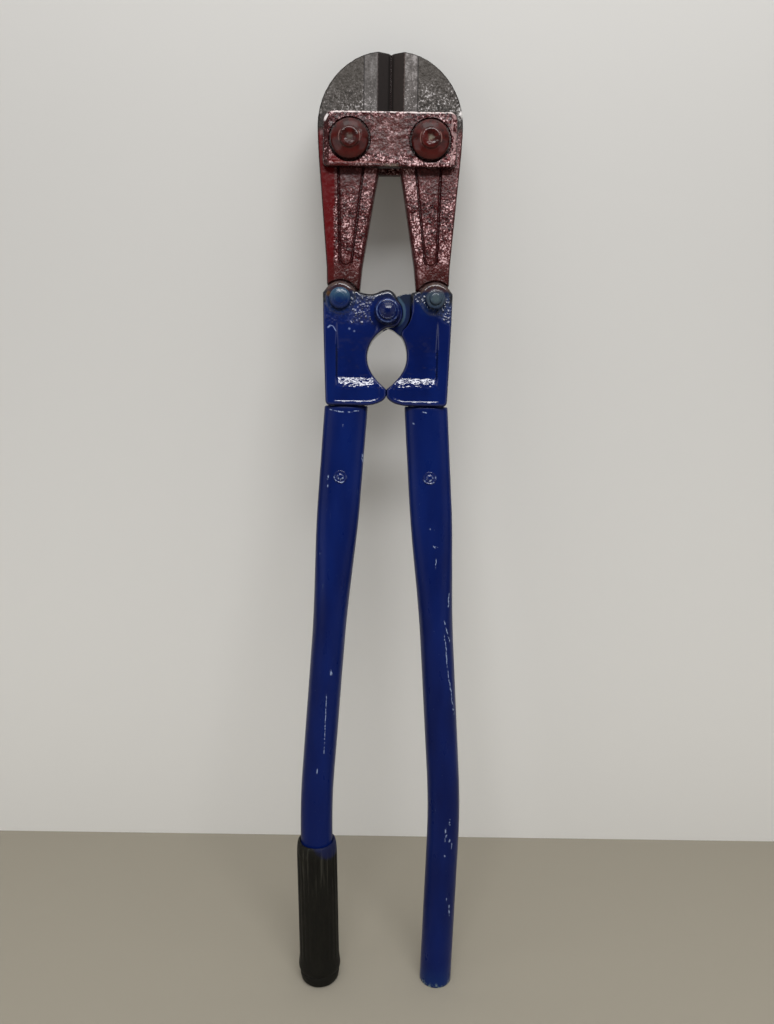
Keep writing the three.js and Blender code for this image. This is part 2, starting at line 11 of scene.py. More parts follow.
import bpy
import numpy as np
from mathutils import Matrix, Vector
from mathutils.geometry import delaunay_2d_cdt


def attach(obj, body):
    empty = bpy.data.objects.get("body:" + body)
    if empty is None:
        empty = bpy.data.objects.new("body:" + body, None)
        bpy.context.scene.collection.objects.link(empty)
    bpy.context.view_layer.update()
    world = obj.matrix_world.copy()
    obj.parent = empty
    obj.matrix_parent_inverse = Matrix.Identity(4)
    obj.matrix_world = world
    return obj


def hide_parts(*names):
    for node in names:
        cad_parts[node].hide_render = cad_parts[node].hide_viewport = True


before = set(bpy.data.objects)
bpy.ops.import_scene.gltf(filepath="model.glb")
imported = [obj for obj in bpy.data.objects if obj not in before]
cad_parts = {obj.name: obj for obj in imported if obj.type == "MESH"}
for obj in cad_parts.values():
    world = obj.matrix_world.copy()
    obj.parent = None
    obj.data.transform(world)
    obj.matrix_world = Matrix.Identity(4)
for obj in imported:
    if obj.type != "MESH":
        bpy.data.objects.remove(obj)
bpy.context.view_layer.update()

LOG = logging.getLogger("bolt_cutters")
MM = 0.001
FULL_TURN = 2 * math.pi
CREASE = 34.0
THROUGH = 30.0
LATHE_STEPS = 72
HEXAGON_STEPS = 96
HEXAGON_TURN = 11

Array = np.ndarray
Point = tuple[float, float]
Place = tuple[float, float, float]
Profile = tuple[Point, ...]
Mark = tuple[Point, Point, float]
Line = tuple[Array, bool]
Relief = Callable[[Array, Array], Array]
Colour = tuple[float, float, float]
Coats = list[tuple[Any, Any]]
Object = bpy.types.Object
Material = bpy.types.Material


class Side(Enum):
    """Which half of the tool a piece belongs to."""

    LEFT = "left"
    RIGHT = "right"

    @property
    def sign(self) -> int:
        """Sign of x on this side."""
        return -1 if self is Side.LEFT else 1

    @property
    def jaw(self) -> "Body":
        """Body of this side's jaw."""
        return Body.LEFT_JAW if self is Side.LEFT else Body.RIGHT_JAW

    @property
    def handle(self) -> "Body":
        """Body of this side's handle."""
        return Body.LEFT_HANDLE if self is Side.LEFT else Body.RIGHT_HANDLE

    def __str__(self) -> str:
        """Name of this side."""
        return self.value

    def spot(self, point: Point) -> Point:
        """A right-hand point brought to this side."""
        return (self.sign * point[0], point[1])


class Face(Enum):
    """Which face of the tool a fastener's end shows on; the value is the sign of y."""

    FRONT = -1
    REAR = 1


class Body(Enum):
    """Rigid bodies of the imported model."""

    STRAP = "strap"
    LEFT_JAW = "left_jaw_arm"
    RIGHT_JAW = "right_jaw_arm"
    LEFT_HANDLE = "left_handle"
    RIGHT_HANDLE = "right_handle"


# ---- plane geometry ----


def ramp(low: float, high: float, value: Array) -> Array:
    """Smooth step from 0 at low to 1 at high.

    Args:
        low: Value where the step starts; it may lie above high.
        high: Value where it ends.
        value: Values to map.

    Returns:
        The step, between 0 and 1.
    """
    t = np.clip((value - low) / (high - low), 0.0, 1.0)
    return t * t * (3 - 2 * t)


def hammered(x: Array, z: Array, size: float, seed: int) -> Array:
    """Smooth random relief, as a hammer or a sand mould leaves it.

    Args:
        x: First coordinates.
        z: Second coordinates.
        size: Width of one dent.
        seed: Picks the pattern.

    Returns:
        Values between about -1 and 1.
    """
    column, row = np.floor(x / size), np.floor(z / size)
    u, v = x / size - column, z / size - row
    u, v = u * u * (3 - 2 * u), v * v * (3 - 2 * v)

    def corner(i: int, j: int) -> Array:
        """Random height of one corner of the cell."""
        wave = np.sin((column + i) * 127.1 + (row + j) * 311.7 + seed * 74.7) * 43758.5453
        return 2 * (wave - np.floor(wave)) - 1

    near = corner(0, 0) * (1 - u) + corner(1, 0) * u
    far = corner(0, 1) * (1 - u) + corner(1, 1) * u
    return near * (1 - v) + far * v


def polar(centre: Point, radius: float, degrees: float) -> Point:
    """A point at a polar angle about a centre."""
    angle = math.radians(degrees)
    return (centre[0] + radius * math.cos(angle), centre[1] + radius * math.sin(angle))


class Outline:
    """A closed outline in the plane of the tool, drawn anticlockwise."""

    ARC_STEP = 7.0
    CURVE_STEPS = 24
    CORNER = math.radians(18)

    def __init__(self, x: float, z: float) -> None:
        """Starts at a point."""
        self._points: list[Point] = [(x, z)]

    def line(self, *points: Point) -> "Outline":
        """Adds straight lines to the points and returns the outline."""
        self._points += points
        return self

    def arc(self, centre: Point, radius: float, start: float, end: float) -> "Outline":
        """Adds an arc.

        Args:
            centre: Its centre.
            radius: Its radius.
            start: First polar angle in degrees.
            end: Last polar angle; below start the arc runs clockwise.

        Returns:
            The outline.
        """
        steps = max(2, math.ceil(abs(end - start) / self.ARC_STEP))
        angles = np.linspace(start, end, steps + 1)
        return self.line(*(polar(centre, radius, degrees) for degrees in angles))

    def curve(self, first: Point, second: Point, end: Point) -> "Outline":
        """Adds a cubic curve with two handles and returns the outline."""
        start = np.array(self._points[-1])
        for t in np.linspace(0, 1, self.CURVE_STEPS + 1)[1:]:
            point = (
                (1 - t) ** 3 * start
                + 3 * (1 - t) ** 2 * t * np.array(first)
                + 3 * (1 - t) * t * t * np.array(second)
                + t**3 * np.array(end)
            )
            self._points.append((float(point[0]), float(point[1])))
        return self

    def loop(self, step: float) -> Array:
        """Spreads points evenly along the outline and keeps its corners.

        Args:
            step: Distance between points.

        Returns:
            Points of the closed loop, the first one not repeated.
        """
        points = np.array(self._points)
        points = points[np.linalg.norm(points - np.roll(points, 1, axis=0), axis=1) > 1e-3]
        into = points - np.roll(points, 1, axis=0)
        heading = np.arctan2(into[:, 1], into[:, 0])
        turn = np.abs(np.angle(np.exp(1j * (np.roll(heading, -1) - heading))))
        corners = [i for i in range(len(points)) if turn[i] > self.CORNER] or [0]
        spread: list[Array] = []
        for first, last in zip(corners, corners[1:] + [corners[0] + len(points)]):
            run = np.array([points[i % len(points)] for i in range(first, last + 1)])
            length = np.concatenate([[0], np.cumsum(np.linalg.norm(np.diff(run, axis=0), axis=1))])
            count = max(1, round(length[-1] / step))
            places = np.linspace(0, length[-1], count + 1)[:-1]
            spread.append(np.stack([np.interp(places, length, run[:, k]) for k in (0, 1)], axis=1))
        return np.concatenate(spread)


def circle(centre: Point, radius: float, step: float) -> Array:
    """Points of a circle at about a distance apart."""
    count = max(12, round(FULL_TURN * radius / step))
    angles = np.linspace(0, FULL_TURN, count, endpoint=False)
    x, z = centre[0] + radius * np.cos(angles), centre[1] + radius * np.sin(angles)
    return np.stack([x, z], axis=1)


def upright(x: float, heights: Array) -> Line:
    """An open upright line through heights."""
    return np.stack([0 * heights + x, heights], axis=1), False


def level(z: float, across: Array) -> Line:
    """An open level line through distances from the middle."""
    return np.stack([across, 0 * across + z], axis=1), False


def flat(y: float) -> Relief:
    """A plane face at a depth."""
    return lambda x, z: 0 * x + y


def depth_inside(points: Array, loop: Array) -> Array:
    """Distance of points from a closed loop.

    Args:
        points: Points in the plane.
        loop: Points of the closed loop.

    Returns:
        Distances, positive inside the loop and negative outside.
    """
    start, edge = loop, np.roll(loop, -1, axis=0) - loop
    apart = points[:, None, :] - start[None]
    along = np.clip((apart * edge).sum(2) / (edge**2).sum(1), 0, 1)
    away = np.linalg.norm(apart - along[..., None] * edge, axis=2).min(1)
    height = points[:, 1:2]
    crossing = (start[:, 1] > height) != (start[:, 1] + edge[:, 1] > height)
    rise = np.where(edge[:, 1] == 0, 1e-9, edge[:, 1])
    reach = start[:, 0] + edge[:, 0] * (height - start[:, 1]) / rise
    inside = (crossing & (points[:, 0:1] < reach)).sum(1) % 2 == 1
    return np.where(inside, away, -away)


def inset(loop: Array, distance: float) -> Array:
    """Moves each point of an anticlockwise loop inwards; points that would cross are dropped."""
    edge = np.roll(loop, -1, axis=0) - loop
    edge /= np.linalg.norm(edge, axis=1)[:, None]
    inward = np.stack([-edge[:, 1], edge[:, 0]], axis=1)
    inward = inward + np.roll(inward, 1, axis=0)
    inward /= np.maximum(np.linalg.norm(inward, axis=1), 1e-6)[:, None]
    moved = loop + inward * distance
    return moved[depth_inside(moved, loop) > distance * 0.97 - 0.005]


# ---- meshes ----


def placed(name: str, data: Any) -> Object:
    """A new object with its data, linked to the scene."""
    made = bpy.data.objects.new(name, data)
    bpy.context.scene.collection.objects.link(made)
    return made


def add_object(
    name: str, points: Array, faces: Iterable[Sequence[int]], crease: float = CREASE
) -> Object:
    """Makes a smooth-shaded mesh object with sharp edges where its faces turn.

    Args:
        name: Name of the object.
        points: Its points in millimetres.
        faces: Point numbers of each face.
        crease: Angle in degrees above which an edge stays sharp.

    Returns:
        The object, linked to the scene.
    """
    mesh = bpy.data.meshes.new(name)
    mesh.from_pydata((points * MM).tolist(), [], [list(face) for face in faces])
    mesh.validate()
    mesh.shade_smooth()
    mesh.set_sharp_from_angle(angle=math.radians(crease))
    return placed(name, mesh)


def mirrored(points: Array, faces: list[list[int]], side: Side) -> tuple[Array, list[list[int]]]:
    """Flips a right-hand mesh for the left side and keeps its faces outwards."""
    if side is Side.RIGHT:
        return points, faces
    return points * np.array([-1, 1, 1]), [face[::-1] for face in faces]


@dataclass
class Forging:
    """A forged plate: an outline with rounded edges and a relief on each face.

    Attributes:
        loop: Points of its outline.
        near: Gives y of the front face at x and z.
        far: Gives y of the rear face.
        edge: Radius of its rounded edges.
        spacing: Distance between the points on its faces.
        creases: Closed loops or open lines that the faces' points follow.
        ROW: Distance between rows of points, in spacings.
        BREAK: Gap above which a line is left open.
        EDGE_RINGS: Rings of points over the rounded edge.
        THINNEST: Share of the thickness that each rounding may take.
    """

    loop: Array
    near: Relief
    far: Relief
    edge: float
    spacing: float = 1.3
    creases: Sequence[Line] = ()

    ROW = 0.87
    BREAK = 3.2
    EDGE_RINGS = 5
    THINNEST = 0.32

    def _grid(self) -> Array:
        """Points of a triangular grid inside the rounded edge."""
        low, high = self.loop.min(0), self.loop.max(0)
        rows = np.arange(low[1], high[1], self.spacing * self.ROW)
        grid = [
            (x, z)
            for k, z in enumerate(rows)
            for x in np.arange(low[0] + (k % 2) * self.spacing / 2, high[0], self.spacing)
        ]
        points = np.array(grid)
        return points[depth_inside(points, self.loop) > self.edge + self.spacing * 0.45]

    def _lines(self) -> tuple[Array, list[tuple[int, int]]]:
        """Points of the creases inside the outline, and the links between them.

        Returns:
            The points, and pairs of their numbers, which follow those of the outline.
        """
        lines = [np.zeros((0, 2))]
        links: list[tuple[int, int]] = []
        count = len(self.loop)
        for line, closed in self.creases:
            kept = line[depth_inside(line, self.loop) > 0.25]
            gaps = np.linalg.norm(np.diff(kept, axis=0), axis=1) if len(kept) > 1 else []
            links += [(count + i, count + i + 1) for i, gap in enumerate(gaps) if gap < self.BREAK]
            if closed and len(kept) == len(line):
                links.append((count + len(kept) - 1, count))
            lines.append(kept)
            count += len(kept)
        return np.concatenate(lines), links

    def _plane_mesh(self) -> tuple[Array, list[list[int]], list[int]]:
        """Fills the outline with triangles.

        Returns:
            The points, the triangles, and the outline's point numbers in order.
        """
        angles = np.linspace(0, math.pi / 2, self.EDGE_RINGS + 1)[1:]
        rings = [inset(self.loop, self.edge * (1 - math.cos(angle))) for angle in angles]
        drawn, links = self._lines()
        loose = np.concatenate([*rings, self._grid()])
        if len(drawn):
            away = np.array([np.linalg.norm(drawn - point, axis=1).min() for point in loose])
            loose = loose[away > self.spacing * 0.35]
        points = np.concatenate([self.loop, drawn, loose])
        border = list(range(len(self.loop)))
        found, _, triangles, origin, _, _ = delaunay_2d_cdt(
            [Vector(point) for point in points], links, [border], 1, 1e-5
        )
        place = {old: new for new, olds in enumerate(origin) for old in olds}
        spread = np.array([tuple(point) for point in found])
        return spread, [list(face) for face in triangles], [place[i] for i in border]

    def make(self, name: str, side: Side) -> Object:
        """Makes the plate.

        Args:
            name: Name of the object.
            side: Half of the tool; the left one is mirrored.

        Returns:
            The object.
        """
        spread, triangles, border = self._plane_mesh()
        x, z = spread.T
        inside = np.clip(depth_inside(spread, self.loop), 0, self.edge)
        inside[border] = 0
        drop = self.edge - np.sqrt(np.maximum(self.edge**2 - (self.edge - inside) ** 2, 0))
        near, far = self.near(x, z), self.far(x, z)
        drop = np.minimum(drop, (far - near) * self.THINNEST)
        count = len(spread)
        points = np.concatenate(
            [np.stack([x, near + drop, z], axis=1), np.stack([x, far - drop, z], axis=1)]
        )
        faces = triangles + [[count + i for i in face[::-1]] for face in triangles]
        follow = border[1:] + border[:1]
        faces += [[a, count + a, count + b, b] for a, b in zip(border, follow)]
        return add_object(name, *mirrored(points, faces, side))


def prism(name: str, loop: Array, near: float, far: float, side: Side) -> Object:
    """A plain prism of a loop between two depths, used to cut slots and bores."""
    count = len(loop)
    front = np.insert(loop, 1, near, axis=1)
    points = np.concatenate([front, np.insert(loop, 1, far, axis=1)])
    faces = [list(range(count)), [count + i for i in range(count)][::-1]]
    faces += [[i, count + i, count + (i + 1) % count, (i + 1) % count] for i in range(count)]
    return add_object(name, *mirrored(points, faces, side))


def carve(body: Object, cutters: Sequence[Object]) -> None:
    """Cuts other objects out of one and removes them."""
    for cutter in cutters:
        cut = body.modifiers.new("cut", "BOOLEAN")
        cut.operation = "DIFFERENCE"
        cut.solver = "EXACT"
        cut.object = cutter
    depsgraph = bpy.context.evaluated_depsgraph_get()
    cut_mesh = bpy.data.meshes.new_from_object(body.evaluated_get(depsgraph))
    body.modifiers.clear()
    body.data = cut_mesh
    cut_mesh.shade_smooth()
    cut_mesh.set_sharp_from_angle(angle=math.radians(CREASE))
    for cutter in cutters:
        bpy.data.objects.remove(cutter)


def bores(side: Side, *holes: tuple[Point, float]) -> list[Object]:
    """Cutters for round holes right through a piece, each from its centre and radius."""
    return [
        prism(f"{side}_bore_{i}", circle(centre, radius, 1.2), -THROUGH, THROUGH, side)
        for i, (centre, radius) in enumerate(holes)
    ]


def softened(profile: Sequence[Point], radius: float) -> list[Point]:
    """Rounds the inner corners of an open profile.

    Args:
        profile: Points of the profile.
        radius: How far from each corner the rounding starts, at most.

    Returns:
        The profile with four points for each corner.
    """
    points = [np.array(point, dtype=float) for point in profile]
    smooth = [points[0]]
    for before, corner, after in zip(points, points[1:], points[2:]):
        back, ahead = before - corner, after - corner
        reach = min(radius, 0.42 * np.linalg.norm(back), 0.42 * np.linalg.norm(ahead))
        start = corner + back / max(np.linalg.norm(back), 1e-9) * reach
        end = corner + ahead / max(np.linalg.norm(ahead), 1e-9) * reach
        for t in (0, 0.33, 0.67, 1):
            smooth.append((1 - t) ** 2 * start + 2 * (1 - t) * t * corner + t * t * end)
    smooth.append(points[-1])
    return [(float(a), float(b)) for a, b in smooth]


def ring_skin(name: str, rings: Array, crease: float = CREASE, flip: bool = False) -> Object:
    """A closed skin through rings of points, with a pole at each end.

    Args:
        name: Name of the object.
        rings: Points by ring, turn and coordinate; the end rings shrink to points.
        crease: Angle in degrees above which an edge stays sharp.
        flip: Turns the faces the other way.

    Returns:
        The object.
    """
    count, steps = rings.shape[:2]
    poles = np.stack([rings[0].mean(0), rings[-1].mean(0)])
    points = np.concatenate([rings.reshape(-1, 3), poles])
    faces: list[list[int]] = []
    for i in range(count - 1):
        for j in range(steps):
            k = (j + 1) % steps
            faces.append([i * steps + j, i * steps + k, (i + 1) * steps + k, (i + 1) * steps + j])
    first, last = count * steps, count * steps + 1
    faces += [[first, (j + 1) % steps, j] for j in range(steps)]
    top = (count - 1) * steps
    faces += [[last, top + j, top + (j + 1) % steps] for j in range(steps)]
    if flip:
        faces = [face[::-1] for face in faces]
    return add_object(name, points, faces, crease)


def ring_about(pivot: Point, y: float, radius: float | Array, rises: float | Array = 0) -> Array:
    """A ring of points about an axis along y.

    Args:
        pivot: x and z of the axis.
        y: Depth of the ring.
        radius: Its radius, or the radius of each point.
        rises: What is added to y at each point.

    Returns:
        The points.
    """
    count = np.size(radius) if np.ndim(radius) else LATHE_STEPS
    angles = np.linspace(0, FULL_TURN, count, endpoint=False)
    x, z = pivot[0] + radius * np.cos(angles), pivot[1] + radius * np.sin(angles)
    return np.stack([x, 0 * angles + y + rises, z], axis=1)


def turned(
    name: str, profile: Sequence[Point], pivot: Point, foot: float, face: Face, soften: float = 0.5
) -> Object:
    """A turned piece about a pivot.

    Args:
        name: Name of the object.
        profile: Radius and height of its points, from the axis at the foot to the axis on top.
        pivot: x and z of its axis.
        foot: y of its foot, without sign.
        face: Face of the tool that it grows out of.
        soften: Radius of its rounded corners.

    Returns:
        The object.
    """
    smooth = softened(profile, soften)[1:-1]
    rings = [ring_about(pivot, face.value * (foot + height), radius) for radius, height in smooth]
    return ring_skin(name, np.array(rings), flip=face is Face.REAR)


def washer_profile(radius: float, height: float, chamfer: float) -> Profile:
    """Radius and height of a washer with a chamfer along its rim."""
    return ((0, 0), (radius, 0), (radius, height - 0.4), (radius - chamfer, height), (0, height))


def hexagon(name: str, sizes: Place, pivot: Point, foot: float, face: Face) -> Object:
    """A six-sided nut with a turned chamfer on top.

    Args:
        name: Name of the object.
        sizes: Width across its flats, height, and radius of the flat part of its top.
        pivot: x and z of its axis.
        foot: y of its foot, without sign.
        face: Face of the tool that it grows out of.

    Returns:
        The object.
    """
    flats, height, flat_top = sizes
    angles = np.linspace(0, FULL_TURN, HEXAGON_STEPS, endpoint=False)
    turn = (angles + math.radians(HEXAGON_TURN)) % (math.pi / 3) - math.pi / 6
    reach = np.minimum(flats / 2 / np.cos(turn), flats / math.sqrt(3) * 0.925)
    rings = [(reach * 0.15, 0 * reach), (reach, 0 * reach), (reach, 0 * reach + height * 0.3)]
    for share in (1.0, 0.93, 0.8, 0.6, 0.3, 0.0):
        radius = flat_top + (reach - flat_top) * share
        drop = (radius - flat_top) * (0.3 + 0.55 * share**2)
        rings.append((radius, height - drop))
    rings.append((0 * reach + flat_top * 0.15, 0 * reach + height))
    shape = [
        ring_about(pivot, face.value * foot, radius, face.value * rise) for radius, rise in rings
    ]
    return ring_skin(name, np.array(shape), crease=24, flip=face is Face.REAR)


# ---- shader expressions ----


def operator(operation: str, reflected: bool = False) -> Callable[..., "Signal"]:
    """Makes a method of Signal.

    Args:
        operation: Operation of the Math node that it adds.
        reflected: Whether the signal itself comes last.

    Returns:
        The method.
    """

    def method(self: "Signal", *others: Any) -> "Signal":
        """Adds the node."""
        values = (*others, self) if reflected else (self, *others)
        return self.nodes.node("Math", {"operation": operation}, dict(enumerate(values)))

    return method


class Signal:
    """A value that varies over a surface, written as an expression on shader sockets."""

    def __init__(self, nodes: "Nodes", socket: bpy.types.NodeSocket) -> None:
        """Wraps an output socket."""
        self.nodes = nodes
        self.socket = socket

    __add__, __radd__ = operator("ADD"), operator("ADD", True)
    __sub__, __rsub__ = operator("SUBTRACT"), operator("SUBTRACT", True)
    __mul__, __rmul__ = operator("MULTIPLY"), operator("MULTIPLY", True)
    __truediv__, __rtruediv__ = operator("DIVIDE"), operator("DIVIDE", True)
    __pow__, __abs__ = operator("POWER"), operator("ABSOLUTE")
    least, most = operator("MINIMUM"), operator("MAXIMUM")

    def step(self, low: float, high: float) -> "Signal":
        """Smooth step from 0 at low to 1 at high, which may be given in either order."""
        if low > high:
            return 1 - self.step(high, low)
        inputs = {"Value": self, "From Min": low, "From Max": high}
        return self.nodes.node("MapRange", {"interpolation_type": "SMOOTHSTEP"}, inputs)

    def band(self, low: float, high: float, soft: float) -> "Signal":
        """1 between low and high, with soft ends."""
        return self.step(low - soft, low + soft) * self.step(high + soft, high - soft)

    def about(self, middle: float, outer: float, inner: float) -> "Signal":
        """1 within a distance inner of a middle value, and 0 beyond a distance outer."""
        return abs(self - middle).step(outer, inner)


@dataclass(frozen=True)
class Gloss:
    """What is the same all over a finish.

    Attributes:
        specular: Specular level of the base.
        coat_roughness: Roughness of the clear top.
    """

    specular: float = 0.5
    coat_roughness: float = 0.08


class Nodes:
    """A node tree that expressions fill."""

    def __init__(self, tree: bpy.types.NodeTree) -> None:
        """Empties the tree."""
        self.tree = tree
        tree.nodes.clear()

    def feed(self, socket: bpy.types.NodeSocket, value: Any) -> None:
        """Links a signal to a socket, or sets the socket to a value."""
        if isinstance(value, Signal):
            self.tree.links.new(value.socket, socket)
        else:
            socket.default_value = value

    def add(
        self,
        kind: str,
        settings: dict[str, Any] | None = None,
        inputs: dict[Any, Any] | None = None,
    ) -> bpy.types.Node:
        """Adds a node.

        Args:
            kind: Type of the node, without ShaderNode.
            settings: Its settings, set first; "stops" fills a colour ramp.
            inputs: Its sockets by name or number, as values or signals.

        Returns:
            The node.
        """
        made = self.tree.nodes.new(f"ShaderNode{kind}")
        for key, value in (settings or {}).items():
            if key == "stops":
                self._fill(made.color_ramp, value)
            else:
                setattr(made, key, value)
        for key, value in (inputs or {}).items():
            self.feed(made.inputs[key], value)
        return made

    def node(self, kind: str, *given: dict[Any, Any], out: Any = 0) -> Signal:
        """Adds a node for one of its outputs.

        Args:
            kind: Type of the node, without ShaderNode.
            given: Its settings and its sockets, as add takes them.
            out: Name or number of the output.

        Returns:
            The output as a signal.
        """
        return Signal(self, self.add(kind, *given).outputs[out])

    @staticmethod
    def _fill(colours: bpy.types.ColorRamp, stops: Sequence[tuple[float, Colour]]) -> None:
        """Sets the stops of a colour ramp, each a place and a colour."""
        while len(colours.elements) < len(stops):
            colours.elements.new(0.5)
        for element, (place, colour) in zip(colours.elements, stops):
            element.position = place
            element.color = (*colour, 1.0)


class Shader(Nodes):
    """The node tree of one material, with one Principled surface."""

    def __init__(self, name: str, gloss: Gloss) -> None:
        """Starts a material with a bare surface."""
        self.material = bpy.data.materials.new(name)
        self.material.use_nodes = True
        super().__init__(self.material.node_tree)
        sockets = {"Specular IOR Level": gloss.specular, "Coat Roughness": gloss.coat_roughness}
        self.skin = self.node("BsdfPrincipled", {}, sockets)
        place = self.node("TexCoord", out="Object")
        self.place = self.node("VectorMath", {"operation": "SCALE"}, {0: place, "Scale": 1 / MM})
        split = self.add("SeparateXYZ", {}, {0: self.place})
        self.x, self.y, self.z = (Signal(self, split.outputs[axis]) for axis in "XYZ")
        normal = self.node("TexCoord", out="Normal")
        self.flatness = abs(self.node("SeparateXYZ", {}, {0: normal}, out="Y"))

    @property
    def across(self) -> Signal:
        """Distance from the middle of the tool."""
        return abs(self.x)

    def shades(self, value: Signal, *stops: tuple[float, Colour]) -> Signal:
        """Colour from a value, between stops in rising order."""
        return self.node("ValToRGB", {"stops": stops}, {0: value})

    def stretched(self, size: Place, shift: float = 0.0) -> Signal:
        """The place on the surface, in steps of a size along x, y and z.

        Args:
            size: Size of a step along each axis.
            shift: Moves the pattern.

        Returns:
            A vector signal.
        """
        moved = self.node("VectorMath", {"operation": "ADD"}, {0: self.place, 1: [shift] * 3})
        return self.node("VectorMath", {"operation": "DIVIDE"}, {0: moved, 1: size})

    def noise(
        self, size: float | Place, detail: float = 2.0, shift: float = 0.0, warp: float = 0.0
    ) -> Signal:
        """Noise between 0 and 1.

        Args:
            size: Size of its blotches in millimetres, for all axes or for each.
            detail: How much fine detail it has.
            shift: Moves the pattern.
            warp: How much it is distorted.

        Returns:
            The noise.
        """
        sizes = size if isinstance(size, tuple) else (size, size, size)
        shape = {"Scale": 1.0, "Detail": detail, "Roughness": 0.55, "Distortion": warp}
        return self.node("TexNoise", {}, {"Vector": self.stretched(sizes, shift), **shape})

    def grains(self, size: float, shift: float = 0.0) -> Signal:
        """Distance from the middle of rounded grains, 0 at their middle."""
        place = self.stretched((size, size, size), shift)
        inputs = {"Vector": place, "Scale": 1.0, "Smoothness": 0.35}
        return self.node("TexVoronoi", {"feature": "SMOOTH_F1"}, inputs)

    def near(self, x: float, z: float) -> Signal:
        """Distance in the plane of the tool from a point."""
        return ((self.x - x) ** 2 + (self.z - z) ** 2) ** 0.5

    def near_pair(self, x: float, z: float) -> Signal:
        """Distance in the plane of the tool from a point that both sides have."""
        return ((self.across - x) ** 2 + (self.z - z) ** 2) ** 0.5

    def scratch(self, start: Point, end: Point, width: float, wander: Signal) -> Signal:
        """A thin scratch.

        Args:
            start: x and z where it starts.
            end: x and z where it ends.
            width: Its width.
            wander: Moves it sideways, in millimetres.

        Returns:
            1 in the scratch and 0 elsewhere.
        """
        length = math.dist(start, end)
        across = ((end[0] - start[0]) / length, (end[1] - start[1]) / length)
        along = (self.x - start[0]) * across[0] + (self.z - start[1]) * across[1]
        aside = (self.x - start[0]) * across[1] - (self.z - start[1]) * across[0] + wander
        return abs(aside).step(width, width * 0.4) * along.band(0, length, 1.0)

    def mix(self, share: Any, first: Any, second: Any) -> Signal:
        """Mixes two colours.

        Args:
            share: 0 for the first and 1 for the second.
            first: Colour or signal.
            second: Colour or signal.

        Returns:
            The mixed colour.
        """
        base, over = (c if isinstance(c, Signal) else (*c, 1.0) for c in (first, second))
        return self.node("Mix", {"data_type": "RGBA"}, {0: share, 6: base, 7: over}, out=2)

    def layers(self, colour: Signal, *coats: tuple[Any, Any]) -> Signal:
        """Lays colours over a first one.

        Args:
            colour: The first colour.
            coats: The cover, from 0 to 1, and the colour of each coat, from the lowest up.

        Returns:
            The colour on top.
        """
        for cover, coat in coats:
            colour = self.mix(cover, colour, coat)
        return colour

    def bump(self, height: Signal, depth: float, under: Signal | None = None) -> Signal:
        """A bumped normal.

        Args:
            height: Height between 0 and 1.
            depth: Height of 1 in millimetres.
            under: Normal that the bump lies on.

        Returns:
            The normal.
        """
        inputs: dict[Any, Any] = {"Height": height, "Strength": 1.0, "Distance": depth * MM}
        if under is not None:
            inputs["Normal"] = under
        return self.node("Bump", {}, inputs)

    def finish(self, shown: Signal | None = None, **sockets: Any) -> Material:
        """Feeds the surface and shows it.

        Args:
            shown: Shader that is shown instead of the bare surface.
            sockets: Values of the surface's sockets, whose names have underscores here.

        Returns:
            The material.
        """
        inputs = self.skin.socket.node.inputs
        for key, value in sockets.items():
            self.feed(inputs[key.replace("_", " ").title()], value)
        self.add("OutputMaterial", {}, {"Surface": shown or self.skin})
        return self.material


def srgb(red: int, green: int, blue: int) -> Colour:
    """Linear colour of display values from 0 to 255."""

    def linear(value: int) -> float:
        """Linear level of one display value."""
        share = value / 255
        return share / 12.92 if share <= 0.04045 else ((share + 0.055) / 1.055) ** 2.4

    return (linear(red), linear(green), linear(blue))


# ---- sizes shared by the pieces ----

JAW_PIVOT: Point = (35.2, 820.3)
LINK_PIVOT: Point = (42.7, 686.5)
CENTRE_PIVOT: Point = (0.0, 675.5)
JAW_BORE = 8.3
LINK_BORE = 5.8
CENTRE_BORE = 6.8
KNUCKLE_FACE = 15.0
STRAP_FACE = 17.3
RIVET_HEIGHT = 525.3
FACET = (0.555, 0.832)
GAP = 0.3
SEAM = 0.01


def settle(piece: Object, body: Body, slot: str, material: Material, *nodes: str) -> None:
    """Rides a piece on its body, dresses it and reports it.

    Args:
        piece: The new piece.
        body: Body that it moves with.
        slot: Material slot of the record; not used.
        material: Its finish.
        nodes: Nodes that it stands for.
    """
    piece.data.materials.clear()
    piece.data.materials.append(material)
    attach(piece, body.value)
    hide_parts(*nodes)
    LOG.info("%s: %d faces on %s", piece.name, len(piece.data.polygons), body.value)


# ---- finishes ----


@dataclass(frozen=True)
class BluePaint:
    """Deep blue enamel.

    Attributes:
        deep: Its darkest shade.
        bright: Its brightest shade.
        worn: Colour of scuffs and scratches.
    """

    deep: Colour = srgb(3, 17, 70)
    bright: Colour = srgb(7, 28, 90)
    worn: Colour = srgb(92, 110, 128)

    def base(self, s: Shader) -> Signal:
        """Colour of the paint before any mark."""
        drift = s.noise((26.0, 26.0, 90.0), 2).step(0.2, 0.8)
        return s.mix(drift, self.deep, self.bright)


